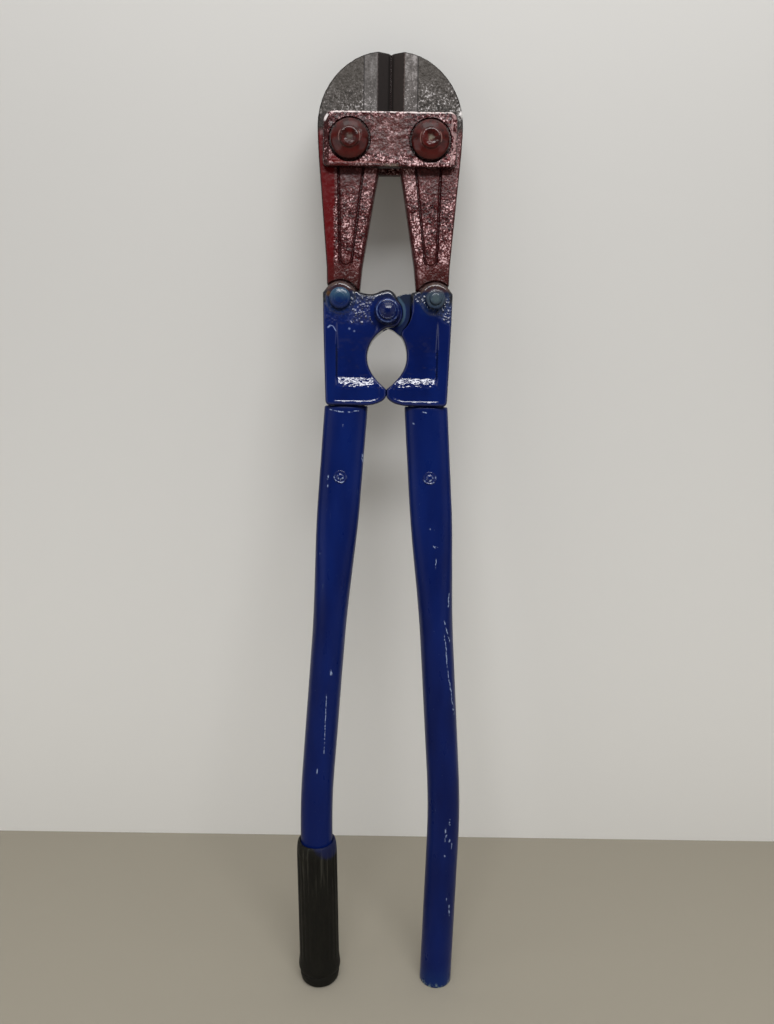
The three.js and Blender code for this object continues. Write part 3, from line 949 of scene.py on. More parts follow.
@dataclass(frozen=True)
class KnucklePaint(BluePaint):
    """Blue enamel over a hammered forging, with dark and brown overspray around the links, painted
    shade on its top rim, edges and pit centres, and painted highlights.

    Attributes:
        chips: Painted highlights at the top of the left hollow, each with its start, end and
            width.
        pit: Size of the pits.
        pit_depth: Depth of the pits.
        ripple: Size of the ripples on the hollows' lower slopes.
        ripple_depth: Depth of those ripples.
    """

    chips: tuple[Mark, ...] = (
        ((-53.4, 660.4), (-51.2, 662.4), 0.9),
        ((-51.2, 662.4), (-49.2, 661.8), 0.5),
        ((-49.2, 661.8), (-46.6, 657.6), 0.5),
        ((-34.2, 659.4), (-33.6, 660.2), 1.3),
        ((-29.8, 657.4), (-29.2, 658.0), 1.0),
    )
    pit: float = 2.5
    pit_depth: float = 0.95
    ripple: Place = (4.3, 4.3, 2.8)
    ripple_depth: float = 0.56

    def _pits(self, s: Shader, edge: Signal, facet: Signal) -> Signal:
        """Where the forging is pitted: around the left link and on the right knuckle's corner.

        Args:
            s: Shader to build in.
            edge: Wandering edge of the patches, in millimetres.
            facet: Where the right knuckle's corner is.

        Returns:
            How much it is pitted, from 0 to 1.
        """
        left = s.x.step(-8, -12) * (s.x.step(-38, -31) * 0.6 + 0.4)
        left = left * (s.z + edge * 0.5).step(664, 670)
        clear = s.near(*CENTRE_PIVOT).step(14.5, 17) * s.z.step(692, 688)
        return left.most(facet * 0.9) * clear

    def _slopes(self, s: Shader) -> Signal:
        """Where the ripples are, on the hollows' lower slopes and in patches above them."""
        slopes = s.z.band(605.5, 620.5, 1.0) * s.across.step(48, 45.5)
        above = s.z.band(618, 630, 6) * (s.x.step(-4, 4) * 0.6 + 0.3) * s.across.step(46, 42)
        return slopes.most(above * s.noise(6, 2, 61).step(0.42, 0.6))

    def _tongue_coats(self, s: Shader, edge: Signal) -> Coats:
        """Coats of the tongue, where it shows beside the left knuckle's lobe; its strip is
        grey-blue overspray, painted lighter as painted light in the shaded slot.
        """
        tongue = s.x.step(8, 11) * s.y.step(-3, -5) * s.y.step(-8, -7)
        from_centre = s.near(*CENTRE_PIVOT)
        strip = (from_centre + s.noise(3, 2, 3) * 1.5).band(14.8, 17.6, 1.0) * s.z.step(660, 668)
        return [
            (tongue * (s.z + edge * 0.3).step(680, 688) * 0.9, srgb(24, 27, 36)),
            (tongue * from_centre.step(17, 18) * 0.6, srgb(34, 44, 66)),
            # Painted light: the grey-blue strip is lifted where the slot shades the tongue.
            (tongue * strip * 0.8, srgb(66, 88, 108)),
        ]

    def material(self) -> Material:
        """Makes the finish."""
        s = Shader("knuckle_enamel", Gloss(0.5, 0.05))
        edge = s.noise(9, 3, 40) * 10
        from_link = s.near_pair(LINK_PIVOT[0], LINK_PIVOT[1] + 3) + edge
        facet = (s.x * FACET[0] + s.z * FACET[1] + edge * 0.3).step(583, 588) * s.x.step(20, 24)
        dent = s.grains(self.pit, 5)
        pitted = self._pits(s, edge, facet)
        glints = dent.step(0.5, 0.7) * s.noise(2.2, 2, 7).step(0.52, 0.6)
        rust = (s.near(-53.2, 690.6) + s.noise(3, 2, 6) * 3).step(5.2, 2.6)
        front = s.y.step(-8, -10)
        # Painted highlights: short bright marks at the top of the left hollow.
        marked = [s.scratch(*glint_mark, edge * 0.08) * front for glint_mark in self.chips]
        top = s.flatness.step(0.98, 0.86) * s.z.step(680, 686)
        brown = from_link.step(25, 21) * (s.z + edge * 0.2).step(692.5, 696)
        colour = s.layers(
            self.base(s),
            (from_link.step(27, 13) * 0.45, srgb(18, 50, 82)),
            (facet * 0.4, srgb(34, 50, 92)),
            ((s.z - edge).step(674, 686) * 0.7, srgb(26, 32, 48)),
            (rust * 0.8, srgb(86, 60, 28)),
            # Painted shade in the centres of the pits, and painted glints on their rims.
            (dent.step(0.5, 0.2) * pitted * 0.75, srgb(5, 10, 36)),
            (glints * pitted * 0.12, srgb(100, 124, 184)),
            *((mark * 0.6, srgb(150, 166, 208)) for mark in marked),
            *self._tongue_coats(s, edge),
            # Painted shade on the rounded top rim.
            (top * 0.9, srgb(20, 22, 27)),
            (brown * (s.noise(4, 3, 14).step(0.3, 0.6) * 0.5 + 0.4), srgb(66, 42, 34)),
            # Painted shade on the edges that turn away from the front.
            (s.flatness.step(0.8, 0.4) * 0.8, srgb(10, 13, 26)),
        )
        slopes = self._slopes(s)
        rippled = s.bump(s.noise(self.ripple, 1, 11), self.ripple_depth)
        normal = s.mix(slopes, s.bump(s.noise(5.0, 2, 11), 0.15), rippled)
        normal = s.mix(pitted, normal, s.bump(1 - dent, self.pit_depth))
        rough = s.noise(6, 2, 2) * 0.1 + 0.1 + pitted * 0.14
        return s.finish(base_color=colour, roughness=rough * (1 - slopes * 0.7), normal=normal)


# Scratches and flaked spots on each tube; the short marks just below each top, near z 585 to 588,
# are painted highlights on the tube's lip.
TUBE_MARKS: dict[Side, tuple[Mark, ...]] = {
    Side.RIGHT: (
        ((58.6, 389.0), (64.9, 366.6), 0.5),
        ((59.2, 375.0), (63.2, 341.0), 0.6),
        ((63.2, 341.0), (71.1, 293.2), 0.5),
        ((62.0, 415.0), (62.6, 402.0), 0.7),
        ((46.4, 461.0), (47.8, 459.0), 0.6),
        ((48.6, 460.4), (50.4, 460.0), 0.5),
        ((49.6, 449.0), (48.8, 440.0), 0.5),
        ((43.0, 477.2), (43.8, 476.2), 0.9),
        ((25.0, 576.0), (25.6, 575.0), 0.9),
        ((33.0, 585.8), (37.6, 585.2), 0.6),
        ((69.4, 186.0), (69.7, 180.0), 0.7),
        ((64.8, 178.0), (65.4, 170.0), 0.8),
        ((66.2, 170.0), (65.4, 163.0), 1.0),
        ((70.0, 165.0), (69.8, 162.0), 0.7),
        ((71.9, 160.0), (72.1, 153.0), 0.5),
        ((65.0, 148.6), (65.2, 146.6), 0.8),
        ((67.6, 101.0), (68.6, 97.0), 0.5),
        ((71.3, 92.0), (71.7, 79.5), 0.7),
    ),
    Side.LEFT: (
        ((-53.4, 315.6), (-55.6, 253.0), 0.45),
        ((-49.4, 339.0), (-48.8, 334.0), 1.2),
        ((-61.8, 238.0), (-62.2, 233.0), 0.6),
        ((-21.4, 547.0), (-21.1, 539.0), 1.0),
        ((-53.0, 526.2), (-53.6, 523.0), 0.9),
        ((-53.0, 517.4), (-53.1, 515.6), 0.7),
        ((-39.9, 573.4), (-39.4, 572.2), 0.9),
        ((-60.6, 452.0), (-60.3, 450.6), 0.9),
        ((-52.0, 587.6), (-49.4, 587.0), 0.6),
        ((-47.6, 586.8), (-39.0, 585.4), 0.7),
        ((-35.6, 585.6), (-31.0, 585.4), 0.7),
        ((-30.0, 586.0), (-25.2, 586.4), 0.5),
    ),
}


@dataclass(frozen=True)
class TubePaint(BluePaint):
    """Blue enamel on smooth tube, with scratches, flaked spots, painted highlights along its top
    lip and a worn foot.

    Attributes:
        side: Handle that it covers; each has its own marks.
    """

    side: Side = Side.RIGHT

    def _marks(self, s: Shader) -> Signal:
        """Scratches, flaked spots and painted highlights that are picked out one by one, the first
        one straighter.
        """
        wander = (s.noise(7, 2, 21) - 0.5) * 3
        first, *others = TUBE_MARKS[self.side]
        marks = s.scratch(*first, wander * 0.4)
        for mark in others:
            marks = marks.most(s.scratch(*mark, wander))
        broken = s.noise((1.5, 1.5, 3.0), 2, 44).step(0.42, 0.54)
        return marks * broken * s.y.step(2.0, -3.0)

    def _foot_coats(self, s: Shader) -> Coats:
        """Coats of the right tube's foot, which stands bare on the ground."""
        foot = (s.z + s.noise(8, 3, 6) * 16).step(34, 12)
        marked = (s.z + s.noise(5, 3, 16) * 12).step(11, 7)
        marked = marked * s.noise(2.0, 2, 19).step(0.5, 0.6)
        return [(foot * 0.3, srgb(22, 56, 110)), (marked * 0.85, srgb(128, 148, 150))]

    def material(self) -> Material:
        """Makes the finish."""
        s = Shader(f"{self.side}_tube_enamel", Gloss(0.16, 0.12))
        streaks = s.noise((1.1, 1.1, 34.0), 3, 15, 0.3).step(0.67, 0.73)
        patches = s.noise((16.0, 16.0, 70.0), 2, 8).step(0.54, 0.66)
        flecks = s.noise(1.6, 2, 30).step(0.73, 0.78)
        worn = (streaks * patches * 0.4).most(flecks * 0.5)
        marks = self._marks(s)
        colour = s.layers(
            self.base(s),
            (worn, self.worn),
            (marks * 0.85, srgb(150, 166, 198)),
            *(self._foot_coats(s) if self.side is Side.RIGHT else ()),
        )
        scuffed = s.noise((9.0, 9.0, 26.0), 4, 50) * 0.22 + 0.2
        return s.finish(
            base_color=colour,
            roughness=(scuffed + worn.most(marks) * 0.3).least(1),
            normal=s.bump(s.noise((10.0, 10.0, 24.0), 3, 4), 0.35),
        )


@dataclass(frozen=True)
class RedPaint:
    """Dark red enamel over a rough forging, with painted sheen and painted glints in its grain.

    Attributes:
        deep: Colour in the hollows.
        rose: Colour of most of the paint.
        dust_and_sheen: Painted sheen, a greyed pink laid on top of the grain.
        glint_colour: Colour of the painted glints.
        grain: Size of the grain.
    """

    deep: Colour = srgb(32, 4, 6)
    rose: Colour = srgb(66, 17, 18)
    dust_and_sheen: Colour = srgb(103, 56, 57)
    glint_colour: Colour = srgb(226, 188, 190)
    grain: float = 1.6

    def cast(self, s: Shader, shift: float, contrast: Any, lift: Any) -> tuple[Signal, Signal]:
        """Colour and bumped normal of the painted forging.

        Args:
            s: Shader to build in.
            shift: Moves the pattern.
            contrast: How strongly the grain shows, from 0 to 1.
            lift: How much the colours move towards the glints.

        Returns:
            The colour and the normal.
        """
        size = self.grain
        grain = s.noise(size, 3, shift, 0.6) - 0.5
        drift = s.noise(size * 7, 2, shift + 9) - 0.5
        place = grain * contrast + drift * 0.38 + lift + 0.485
        # The two lightest stops are painted sheen and painted glints.
        stops = ((0.36, self.deep), (0.5, self.rose), (0.57, self.dust_and_sheen), (0.67, self.glint_colour))
        waves = s.bump(s.noise(size * 4, 2, 60), 0.7)
        return s.shades(place, *stops), s.bump(s.noise(size * 1.2, 3, shift + 20), 0.6, waves)


@dataclass(frozen=True)
class StrapPaint(RedPaint):
    """Red enamel of the straps, calmer and greyer brown in the middle, with painted glints that
    show more towards the ends, painted highlights along the rims and painted shade at the ends and
    edges.
    """

    def _end_coats(self, s: Shader) -> Coats:
        """Coats of the straps' two sloped ends and their corners: painted shade on the left end
        and below the lower lip, and painted highlights on the right end and the upper left corner.
        """
        left = s.x.step(-52.6, -53.6) * s.noise(3, 2, 31).step(0.66, 0.5)
        right = s.x.step(52.4, 53.4) * s.noise((2.6, 2.6, 6.0), 2, 31).step(0.46, 0.58)
        glint = s.scratch((-57.4, 836.0), (-54.2, 840.6), 1.7, s.noise(2, 2, 6) * 0.8 - 0.4)
        low_left = s.near(-38, 800).step(40, 30) * s.z.step(801.2, 800.8)
        # Painted shade on the left end and below the lip; painted highlights on the right end and
        # at the corner.
        return [
            (left * 0.85, srgb(42, 10, 11)),
            (right * 0.6, srgb(176, 146, 146)),
            (glint * s.y.step(-9, -11) * 0.9, srgb(232, 224, 224)),
            (low_left * 0.7, srgb(50, 10, 11)),
        ]

    def _rim_coats(self, s: Shader) -> Coats:
        """Coats of the lip below, the seats of the bolts, the edges and the top edge: painted
        highlights on the lip and the top edge, painted shade in the seats and on the edges, and a
        small red ring.
        """
        front = s.y.step(-12, -14)
        lip = (s.z + s.noise((9.0, 2.0, 2.0), 2, 41) * 0.8).band(801.6, 802.4, 0.4)
        lip = lip * s.x.step(-49, -46) * s.x.step(-5, -12) * front
        ring = s.near(48.9, 805.8).about(2.6, 1.2, 0.4) * front
        seat = s.near_pair(*JAW_PIVOT).step(18.5, 17.9)
        top = (s.z + s.noise((9.0, 2.0, 2.0), 3, 1) * 2).step(842.5, 843.6)
        top = top * s.y.step(-13.5, -16.0) * s.noise(2.5, 2, 16).step(0.35, 0.55)
        # Painted highlights on the lip and the top edge; painted shade in the bolts' seats and on
        # the edges.
        return [
            (lip * 0.6, srgb(164, 112, 108)),
            (ring * 0.6, srgb(112, 24, 30)),
            (seat * 0.92, srgb(20, 5, 5)),
            (s.flatness.step(0.85, 0.5) * 0.8, self.deep),
            (top, srgb(222, 208, 206)),
        ]

    def material(self) -> Material:
        """Makes the finish."""
        s = Shader("strap_enamel", Gloss(0.22, 0.12))
        middle = (abs(s.x + 1) + s.noise(12, 3, 5) * 16).step(34, 16)
        middle = middle * s.z.step(806, 812) * s.z.step(842, 836)
        # The grain's painted sheen and glints are calmer in the middle and lifted near the bottom.
        painted, normal = self.cast(s, 0.0, 1.0 - middle * 0.3, s.z.step(808, 803) * 0.03)
        red_corner = (s.near(-42, 803) + s.noise(6, 3, 2) * 10).step(22, 10)
        grey = (abs(s.x - 0.5) + s.noise(4, 3, 8) * 6).step(12, 8) * s.y.step(-12, -14)
        grey = grey * (s.z + s.noise(3, 2, 9) * 3).step(803, 800)
        colour = s.layers(
            painted,
            (middle * 0.5, srgb(84, 52, 50)),
            (red_corner * s.z.step(812, 806) * 0.85, srgb(92, 14, 16)),
            (grey * 0.7, srgb(98, 98, 84)),
            *self._end_coats(s),
            *self._rim_coats(s),
        )
        rough = s.noise(3, 3, 12) * 0.2 + 0.14
        return s.finish(base_color=colour, roughness=rough, coat_weight=0.1, normal=normal)


@dataclass(frozen=True)
class BoltPaint(RedPaint):
    """Glossy red enamel of the jaw bolts, worn to grey on the boss, which also carries a painted
    highlight, with painted highlight arcs beside the boss and painted shade around each head's
    foot.
    """

    deep: Colour = srgb(42, 10, 8)
    rose: Colour = srgb(68, 16, 13)

    def material(self) -> Material:
        """Makes the finish."""
        s = Shader("bolt_enamel", Gloss(0.3, 0.05))
        middle = JAW_PIVOT[1]
        from_axis = s.near_pair(*JAW_PIVOT)
        boss = (from_axis + s.noise(3, 3, 4) * 5).step(6.4, 1.6) * s.y.step(-22.5, -25)
        beside = (abs(s.z - middle - 0.8) + s.noise(3, 2, 23) * 3).step(6.6, 4.6)
        arc = from_axis.about(9.1, 0.75, 0.25) * beside * s.y.step(-20, -22)
        below = s.z.step(middle - 2, middle - 12) * s.y.step(-15, -17)
        # The grey boss is partly worn paint and partly a painted highlight; the arcs beside it are
        # painted highlights, and the near-black ring at the head's foot is painted shade.
        colour = s.layers(
            s.mix(s.noise(7, 3).step(0.35, 0.65), self.deep, self.rose),
            (boss * (s.x.step(-2, 2) * 0.5 + 0.3), srgb(108, 100, 82)),
            (arc * 0.6, srgb(134, 100, 94)),
            (below * 0.6, srgb(72, 10, 10)),
            (from_axis.step(15.8, 16.8) * 0.8, srgb(14, 4, 4)),
        )
        return s.finish(
            base_color=colour,
            roughness=s.noise(4, 2, 8) * 0.1 + 0.1 + boss * 0.25,
            coat_weight=0.12,
            normal=s.bump(s.noise(4, 2, 6), 0.2, s.bump(s.noise(1.5, 2, 16), 0.1)),
        )


@dataclass(frozen=True)
class JawFinish(RedPaint):
    """Bare dark steel on the blade and red enamel down the arm, with painted glints, a painted
    highlight on the shoulder and painted shade along its edges.

    Attributes:
        side: Jaw that it covers.
        lit: How strongly the blade's foot glints.
        band: Dark, middle and light shade of the ground band.
        bevel: Shade of the cutting bevel.
        shift: Moves the grain of the arm.
        rib_lift: How much more painted sheen and glints the arm's inner rib shows.
        shine: Strength of the glint on the blade's shoulder.
        ground_edge: Outer edge of the ground band, as a distance from the middle.
        bevel_edge: Outer edge of the cutting bevel.
    """

    side: Side = Side.RIGHT
    lit: float = 1.0
    band: tuple[Colour, ...] = (srgb(58, 53, 51), srgb(82, 77, 75), srgb(124, 119, 118))
    bevel: Colour = srgb(80, 69, 66)
    shift: float = 18.0
    rib_lift: float = 0.04
    shine: float = 0.9
    ground_edge: float = 23.7
    bevel_edge: float = 12.2

    def _blade(self, s: Shader) -> Signal:
        """Colour of the bare blade, with painted glints towards its foot and painted shade in the
        seam between the blades.
        """
        across = s.across
        grain = s.noise(1.5, 2, 5, 0.4) + (s.noise(14, 2, 2) - 0.5) * 0.2
        low = (s.z + s.noise(20, 2, 4) * 24).step(892, 862) * self.lit
        strong = low * 0.7 + 0.3
        steel = s.shades(
            grain * strong + (1 - strong) * 0.5,
            (0.36, srgb(28, 24, 22)),
            (0.5, srgb(60, 55, 51)),
            (0.6, srgb(96, 91, 89)),
            (0.68, srgb(176, 172, 172)),
        )
        blotch = s.noise((5.0, 5.0, 11.0), 3, 1) * 0.6 + grain * 0.4
        band = s.shades(blotch, *zip((0.38, 0.5, 0.62), self.band))
        band = s.mix((grain - 0.6).step(0, 0.06) * low * 0.6, band, srgb(178, 172, 172))
        foot = (s.z + s.noise(5, 2, 3) * 3).step(848, 844)
        # The lightest steel shades and the bright specks on the band are painted glints, strongest
        # towards the foot; the near-black line at the middle is painted shade in the seam between
        # the blades.
        return s.layers(
            steel,
            ((1 - low) * 0.4, srgb(54, 50, 45)),
            (across.step(self.ground_edge, self.ground_edge - 0.6), band),
            (across.band(22.8, 23.8, 0.3) * 0.9, srgb(26, 21, 20)),
            (across.step(self.bevel_edge, self.bevel_edge - 0.6), self.bevel),
            (across.step(0.9, 0.3), srgb(16, 12, 12)),
            (foot * 0.6, srgb(30, 22, 20)),
        )

    def _panel(self, s: Shader) -> tuple[Signal, Signal]:
        """Where the groove around the panel is, and where the panel is inside it."""
        wall = (s.across - JAW_PANEL.inner(s.z)).least(JAW_PANEL.outer(s.z) - s.across)
        within = s.z.band(JAW_PANEL.end[1] - 4, JAW_PANEL.top + 6, 1)
        return wall.band(-0.6, 1.9, 0.5) * within, wall.step(1.6, 2.4) * within

    def _arm(self, s: Shader) -> tuple[Signal, Signal]:
        """Colour and bumped normal of the painted arm, with painted shade in the groove around its
        panel and its grain lifted towards the painted sheen on the inner rib.
        """
        low = (s.z + s.noise(9, 3, 12) * 14).step(738, 712)
        high = (s.z + s.noise(9, 3, 14) * 20).step(778, 800)
        groove, panel = self._panel(s)
        calm = low * 0.6 + high * 0.35 + panel * 0.15
        rib = (JAW_PANEL.inner(s.z) - s.across).step(0, 1)
        # The lift moves the grain towards its painted sheen and glints, most on the inner rib.
        lift = 0.012 - panel * 0.02 + rib * self.rib_lift
        painted, normal = self.cast(s, self.shift, 1 - calm, lift)
        painted = s.mix(high * 0.3, painted, srgb(92, 62, 62))
        if self.side is Side.LEFT:
            strip = (s.across + s.noise((3.0, 3.0, 30.0), 2, 5) * 5).step(50.0, 52)
            painted = s.mix(strip * 0.97, painted, srgb(82, 7, 11))
            normal = s.mix(strip, normal, s.bump(s.noise(7, 2, 6), 0.3))
        # Painted shade in the groove around the panel.
        coats = ((low * 0.6, srgb(60, 24, 22)), (groove * 0.92, srgb(34, 4, 6)))
        return s.layers(painted, *coats), normal

    def material(self) -> Material:
        """Makes the finish."""
        s = Shader(f"{self.side}_jaw_finish", Gloss(0.22, 0.1))
        across = s.across
        painted, normal = self._arm(s)
        bare = (s.z + s.noise(4, 3, 25) * 5).step(829, 836)
        below = (s.z + s.noise(7, 3, 18) * 9).step(711, 700)
        shine = across.step(57.5, 61.5) * s.z.band(841, 849, 4) * s.noise(3, 3, 4).step(0.46, 0.58)
        colour = s.layers(
            painted,
            (bare, self._blade(s)),
            (below * 0.7, srgb(54, 36, 34)),
            # Painted shade on faces turned away from the front: the arm's flanks and edges, and
            # the blade's outline.
            (s.flatness.step(0.95, 0.85) * (1 - bare) * 0.9, srgb(50, 9, 11)),
            (s.flatness.step(0.95, 0.78) * bare * 0.92, srgb(16, 13, 12)),
            (shine * self.shine, srgb(214, 210, 208)),
        )
        ground = across.step(self.ground_edge, self.ground_edge - 0.5) * bare
        brushed = s.bump(s.noise((0.9, 0.9, 20.0), 2, 9), 0.05)
        return s.finish(
            base_color=colour,
            roughness=s.noise(3, 2, 40) * 0.2 + 0.15 + bare * 0.25,
            metallic=bare * (across.step(1.2, 0.6) * 0.75 + 0.2),
            coat_weight=(1 - bare) * 0.06,
            normal=s.mix(ground, normal, brushed),
        )


# The left jaw gets darker band and bevel shades, less rib lift and weaker painted glints than the
# right: painted shade on the side that the light reaches less.
JAW_FINISHES: dict[Side, JawFinish] = {
    Side.LEFT: JawFinish(
        side=Side.LEFT,
        lit=0.7,
        band=(srgb(52, 48, 46), srgb(74, 70, 68), srgb(98, 94, 93)),
        bevel=srgb(64, 56, 55),
        shift=33.0,
        rib_lift=0.012,
        shine=0.1,
    ),
    Side.RIGHT: JawFinish(),
}


@dataclass(frozen=True)
class FastenerPaint(BluePaint):
    """Blue enamel on the link and centre fasteners, worn to grey-green on the right one, with
    painted highlights and painted shade on their edges.
    """

    def _link_coats(self, s: Shader) -> Coats:
        """Coats of the fasteners on the two links; the left head's teal is overspray, made lighter
        on its top as a painted highlight.
        """
        blotch = s.noise(3, 2, 2) * 5
        left = s.near(*Side.LEFT.spot(LINK_PIVOT)).step(12.5, 11)
        top = (s.z + blotch).step(685, 694)
        from_right = s.near(*LINK_PIVOT)
        right = from_right.step(12.5, 11)
        shade = s.shades(
            (from_right + blotch * 0.3) / 10,
            (0.3, srgb(72, 86, 86)),
            (0.6, srgb(46, 60, 70)),
            (0.75, srgb(64, 76, 80)),
            (1.0, srgb(32, 40, 56)),
        )
        low, high = (s.z + blotch).step(685, 679), (s.z + blotch).step(693, 698)
        return [
            # Teal overspray on the left head, stronger on its top as a painted highlight.
            (left * (top * 0.65 + 0.1), srgb(44, 74, 92)),
            (right * 0.8, shade),
            (right * low * 0.6, srgb(14, 44, 84)),
            (right * high * 0.6, srgb(70, 44, 42)),
        ]

    def _glint_coats(self, s: Shader) -> Coats:
        """Painted highlights: broken bright rings on the centre fasteners and on the tubes'
        rivets.
        """
        from_centre = s.near(*CENTRE_PIVOT)
        ring = from_centre.about(9.6, 0.7, 0.25).most(from_centre.about(7.2, 0.6, 0.2) * 0.5)
        from_rivet = s.near_pair(HANDLE.x(RIVET_HEIGHT), RIVET_HEIGHT)
        edge = from_rivet.about(5.6, 0.9, 0.4) * s.noise(2.6, 2, 35).step(0.5, 0.58)
        core = from_rivet.about(2.4, 1.1, 0.4) * s.noise(2.2, 2, 36).step(0.5, 0.6)
        low = s.z.step(RIVET_HEIGHT + 2.5, RIVET_HEIGHT - 0.5)
        return [
            (ring * s.noise(5, 2, 33).step(0.4, 0.56) * 0.45, srgb(104, 128, 184)),
            (edge.most(core) * low * 0.9, srgb(150, 166, 200)),
        ]

    def material(self) -> Material:
        """Makes the finish."""
        s = Shader("fastener_enamel", Gloss(0.3, 0.05))
        colour = s.layers(
            self.base(s),
            (s.near(*CENTRE_PIVOT).step(13, 12) * 0.6, srgb(2, 12, 54)),
            *self._link_coats(s),
            *self._glint_coats(s),
            (s.noise(1.8, 2, 12).step(0.62, 0.7) * 0.25, self.worn),
            # Painted shade on the edges that turn away from the front.
            (s.flatness.step(0.5, 0.2) * 0.7, srgb(10, 14, 26)),
        )
        return s.finish(
            base_color=colour,
            roughness=s.noise(3, 2, 3) * 0.1 + 0.12,
            coat_weight=0.05,
            normal=s.bump(s.noise(3, 3, 9), 0.3),
        )


@dataclass(frozen=True)
class PlainSteel:
    """Dull plain steel of the washers.

    Attributes:
        light: Its lighter shade.
        dark: Its darker shade.
    """

    light: Colour = srgb(140, 138, 134)
    dark: Colour = srgb(92, 86, 80)

    def material(self) -> Material:
        """Makes the finish."""
        s = Shader("plain_steel", Gloss())
        return s.finish(
            base_color=s.mix(s.noise(3, 4).step(0.35, 0.65), self.dark, self.light),
            roughness=s.noise(2, 3, 5) * 0.25 + 0.32,
            metallic=0.7,
            normal=s.bump(s.noise(1.2, 3, 8), 0.08),
        )


@dataclass(frozen=True)
class GripRubber:
    """Satin black moulded rubber with blue overspray on its rim and painted highlight streaks on
    its upper flutes.

    Attributes:
        black: Colour of the clean rubber.
        dust_and_sheen: Colour of the rubber where dust lies on it.
    """

    black: Colour = srgb(14, 13, 9)
    dust_and_sheen: Colour = srgb(25, 24, 18)

    def material(self) -> Material:
        """Makes the finish."""
        s = Shader("grip_rubber", Gloss(0.2, 0.2))
        dust = s.noise((9.0, 9.0, 22.0), 4, 2).step(0.4, 0.75)
        high = (s.z + s.noise(12, 2, 4) * 20).step(104, 138)
        streaks = s.noise((3.2, 3.2, 60.0), 2, 9).step(0.5, 0.68)
        right = (s.x + (s.z - 149) * 0.9 + s.noise(5, 2, 8) * 8).step(-60, -52)
        spray = (s.z + s.noise(5, 3, 7) * 7).step(143, 149) * right
        colour = s.layers(
            s.mix(dust * 0.5, self.black, self.dust_and_sheen),
            # Painted highlights: light streaks on the upper flutes.
            (high * streaks * 0.7, srgb(58, 57, 50)),
            (spray * 0.75, srgb(16, 24, 66)),
        )
        return s.finish(
            base_color=colour,
            roughness=s.noise(4, 3, 6) * 0.2 + 0.5,
            normal=s.bump(s.noise(0.9, 3, 3), 0.05, s.bump(s.noise((3.0, 3.0, 40.0), 2, 8), 0.12)),
        )


# ---- jaws ----


@dataclass(frozen=True)
class Panel:
    """Tapered hollow on each face of a jaw arm.

    Attributes:
        top: Height of its top edge.
        top_inner: x of its top inner corner.
        top_outer: x of its top outer corner.
        end: Centre of its round lower end.
        end_radius: Radius of that end.
        depth: How deep it is.
        groove: Depth of the groove along its edge.
    """

    top: float = 806.0
    top_inner: float = 21.6
    top_outer: float = 46.2
    end: Point = (38.1, 721.4)
    end_radius: float = 6.1
    depth: float = 1.0
    groove: float = 2.1

    def loop(self, shrink: float = 0.0) -> Array:
        """Points of its outline, drawn in by an amount."""
        radius = self.end_radius - shrink
        outline = Outline(self.top_outer - shrink, self.top - shrink)
        outline.line((self.top_inner + shrink, self.top - shrink), polar(self.end, radius, 188))
        return outline.arc(self.end, radius, 188, 359).loop(1.0)

    def _edge(self, z: Any, top_x: float, end_x: float) -> Any:
        """x of a straight edge of the panel at a height."""
        slope = (top_x - end_x) / (self.top - self.end[1])
        return (z - self.end[1]) * slope + end_x

    def inner(self, z: Any) -> Any:
        """x of the inner edge at a height."""
        return self._edge(z, self.top_inner, self.end[0] - self.end_radius)

    def outer(self, z: Any) -> Any:
        """x of the outer edge at a height."""
        return self._edge(z, self.top_outer, self.end[0] + self.end_radius)


JAW_PANEL = Panel()


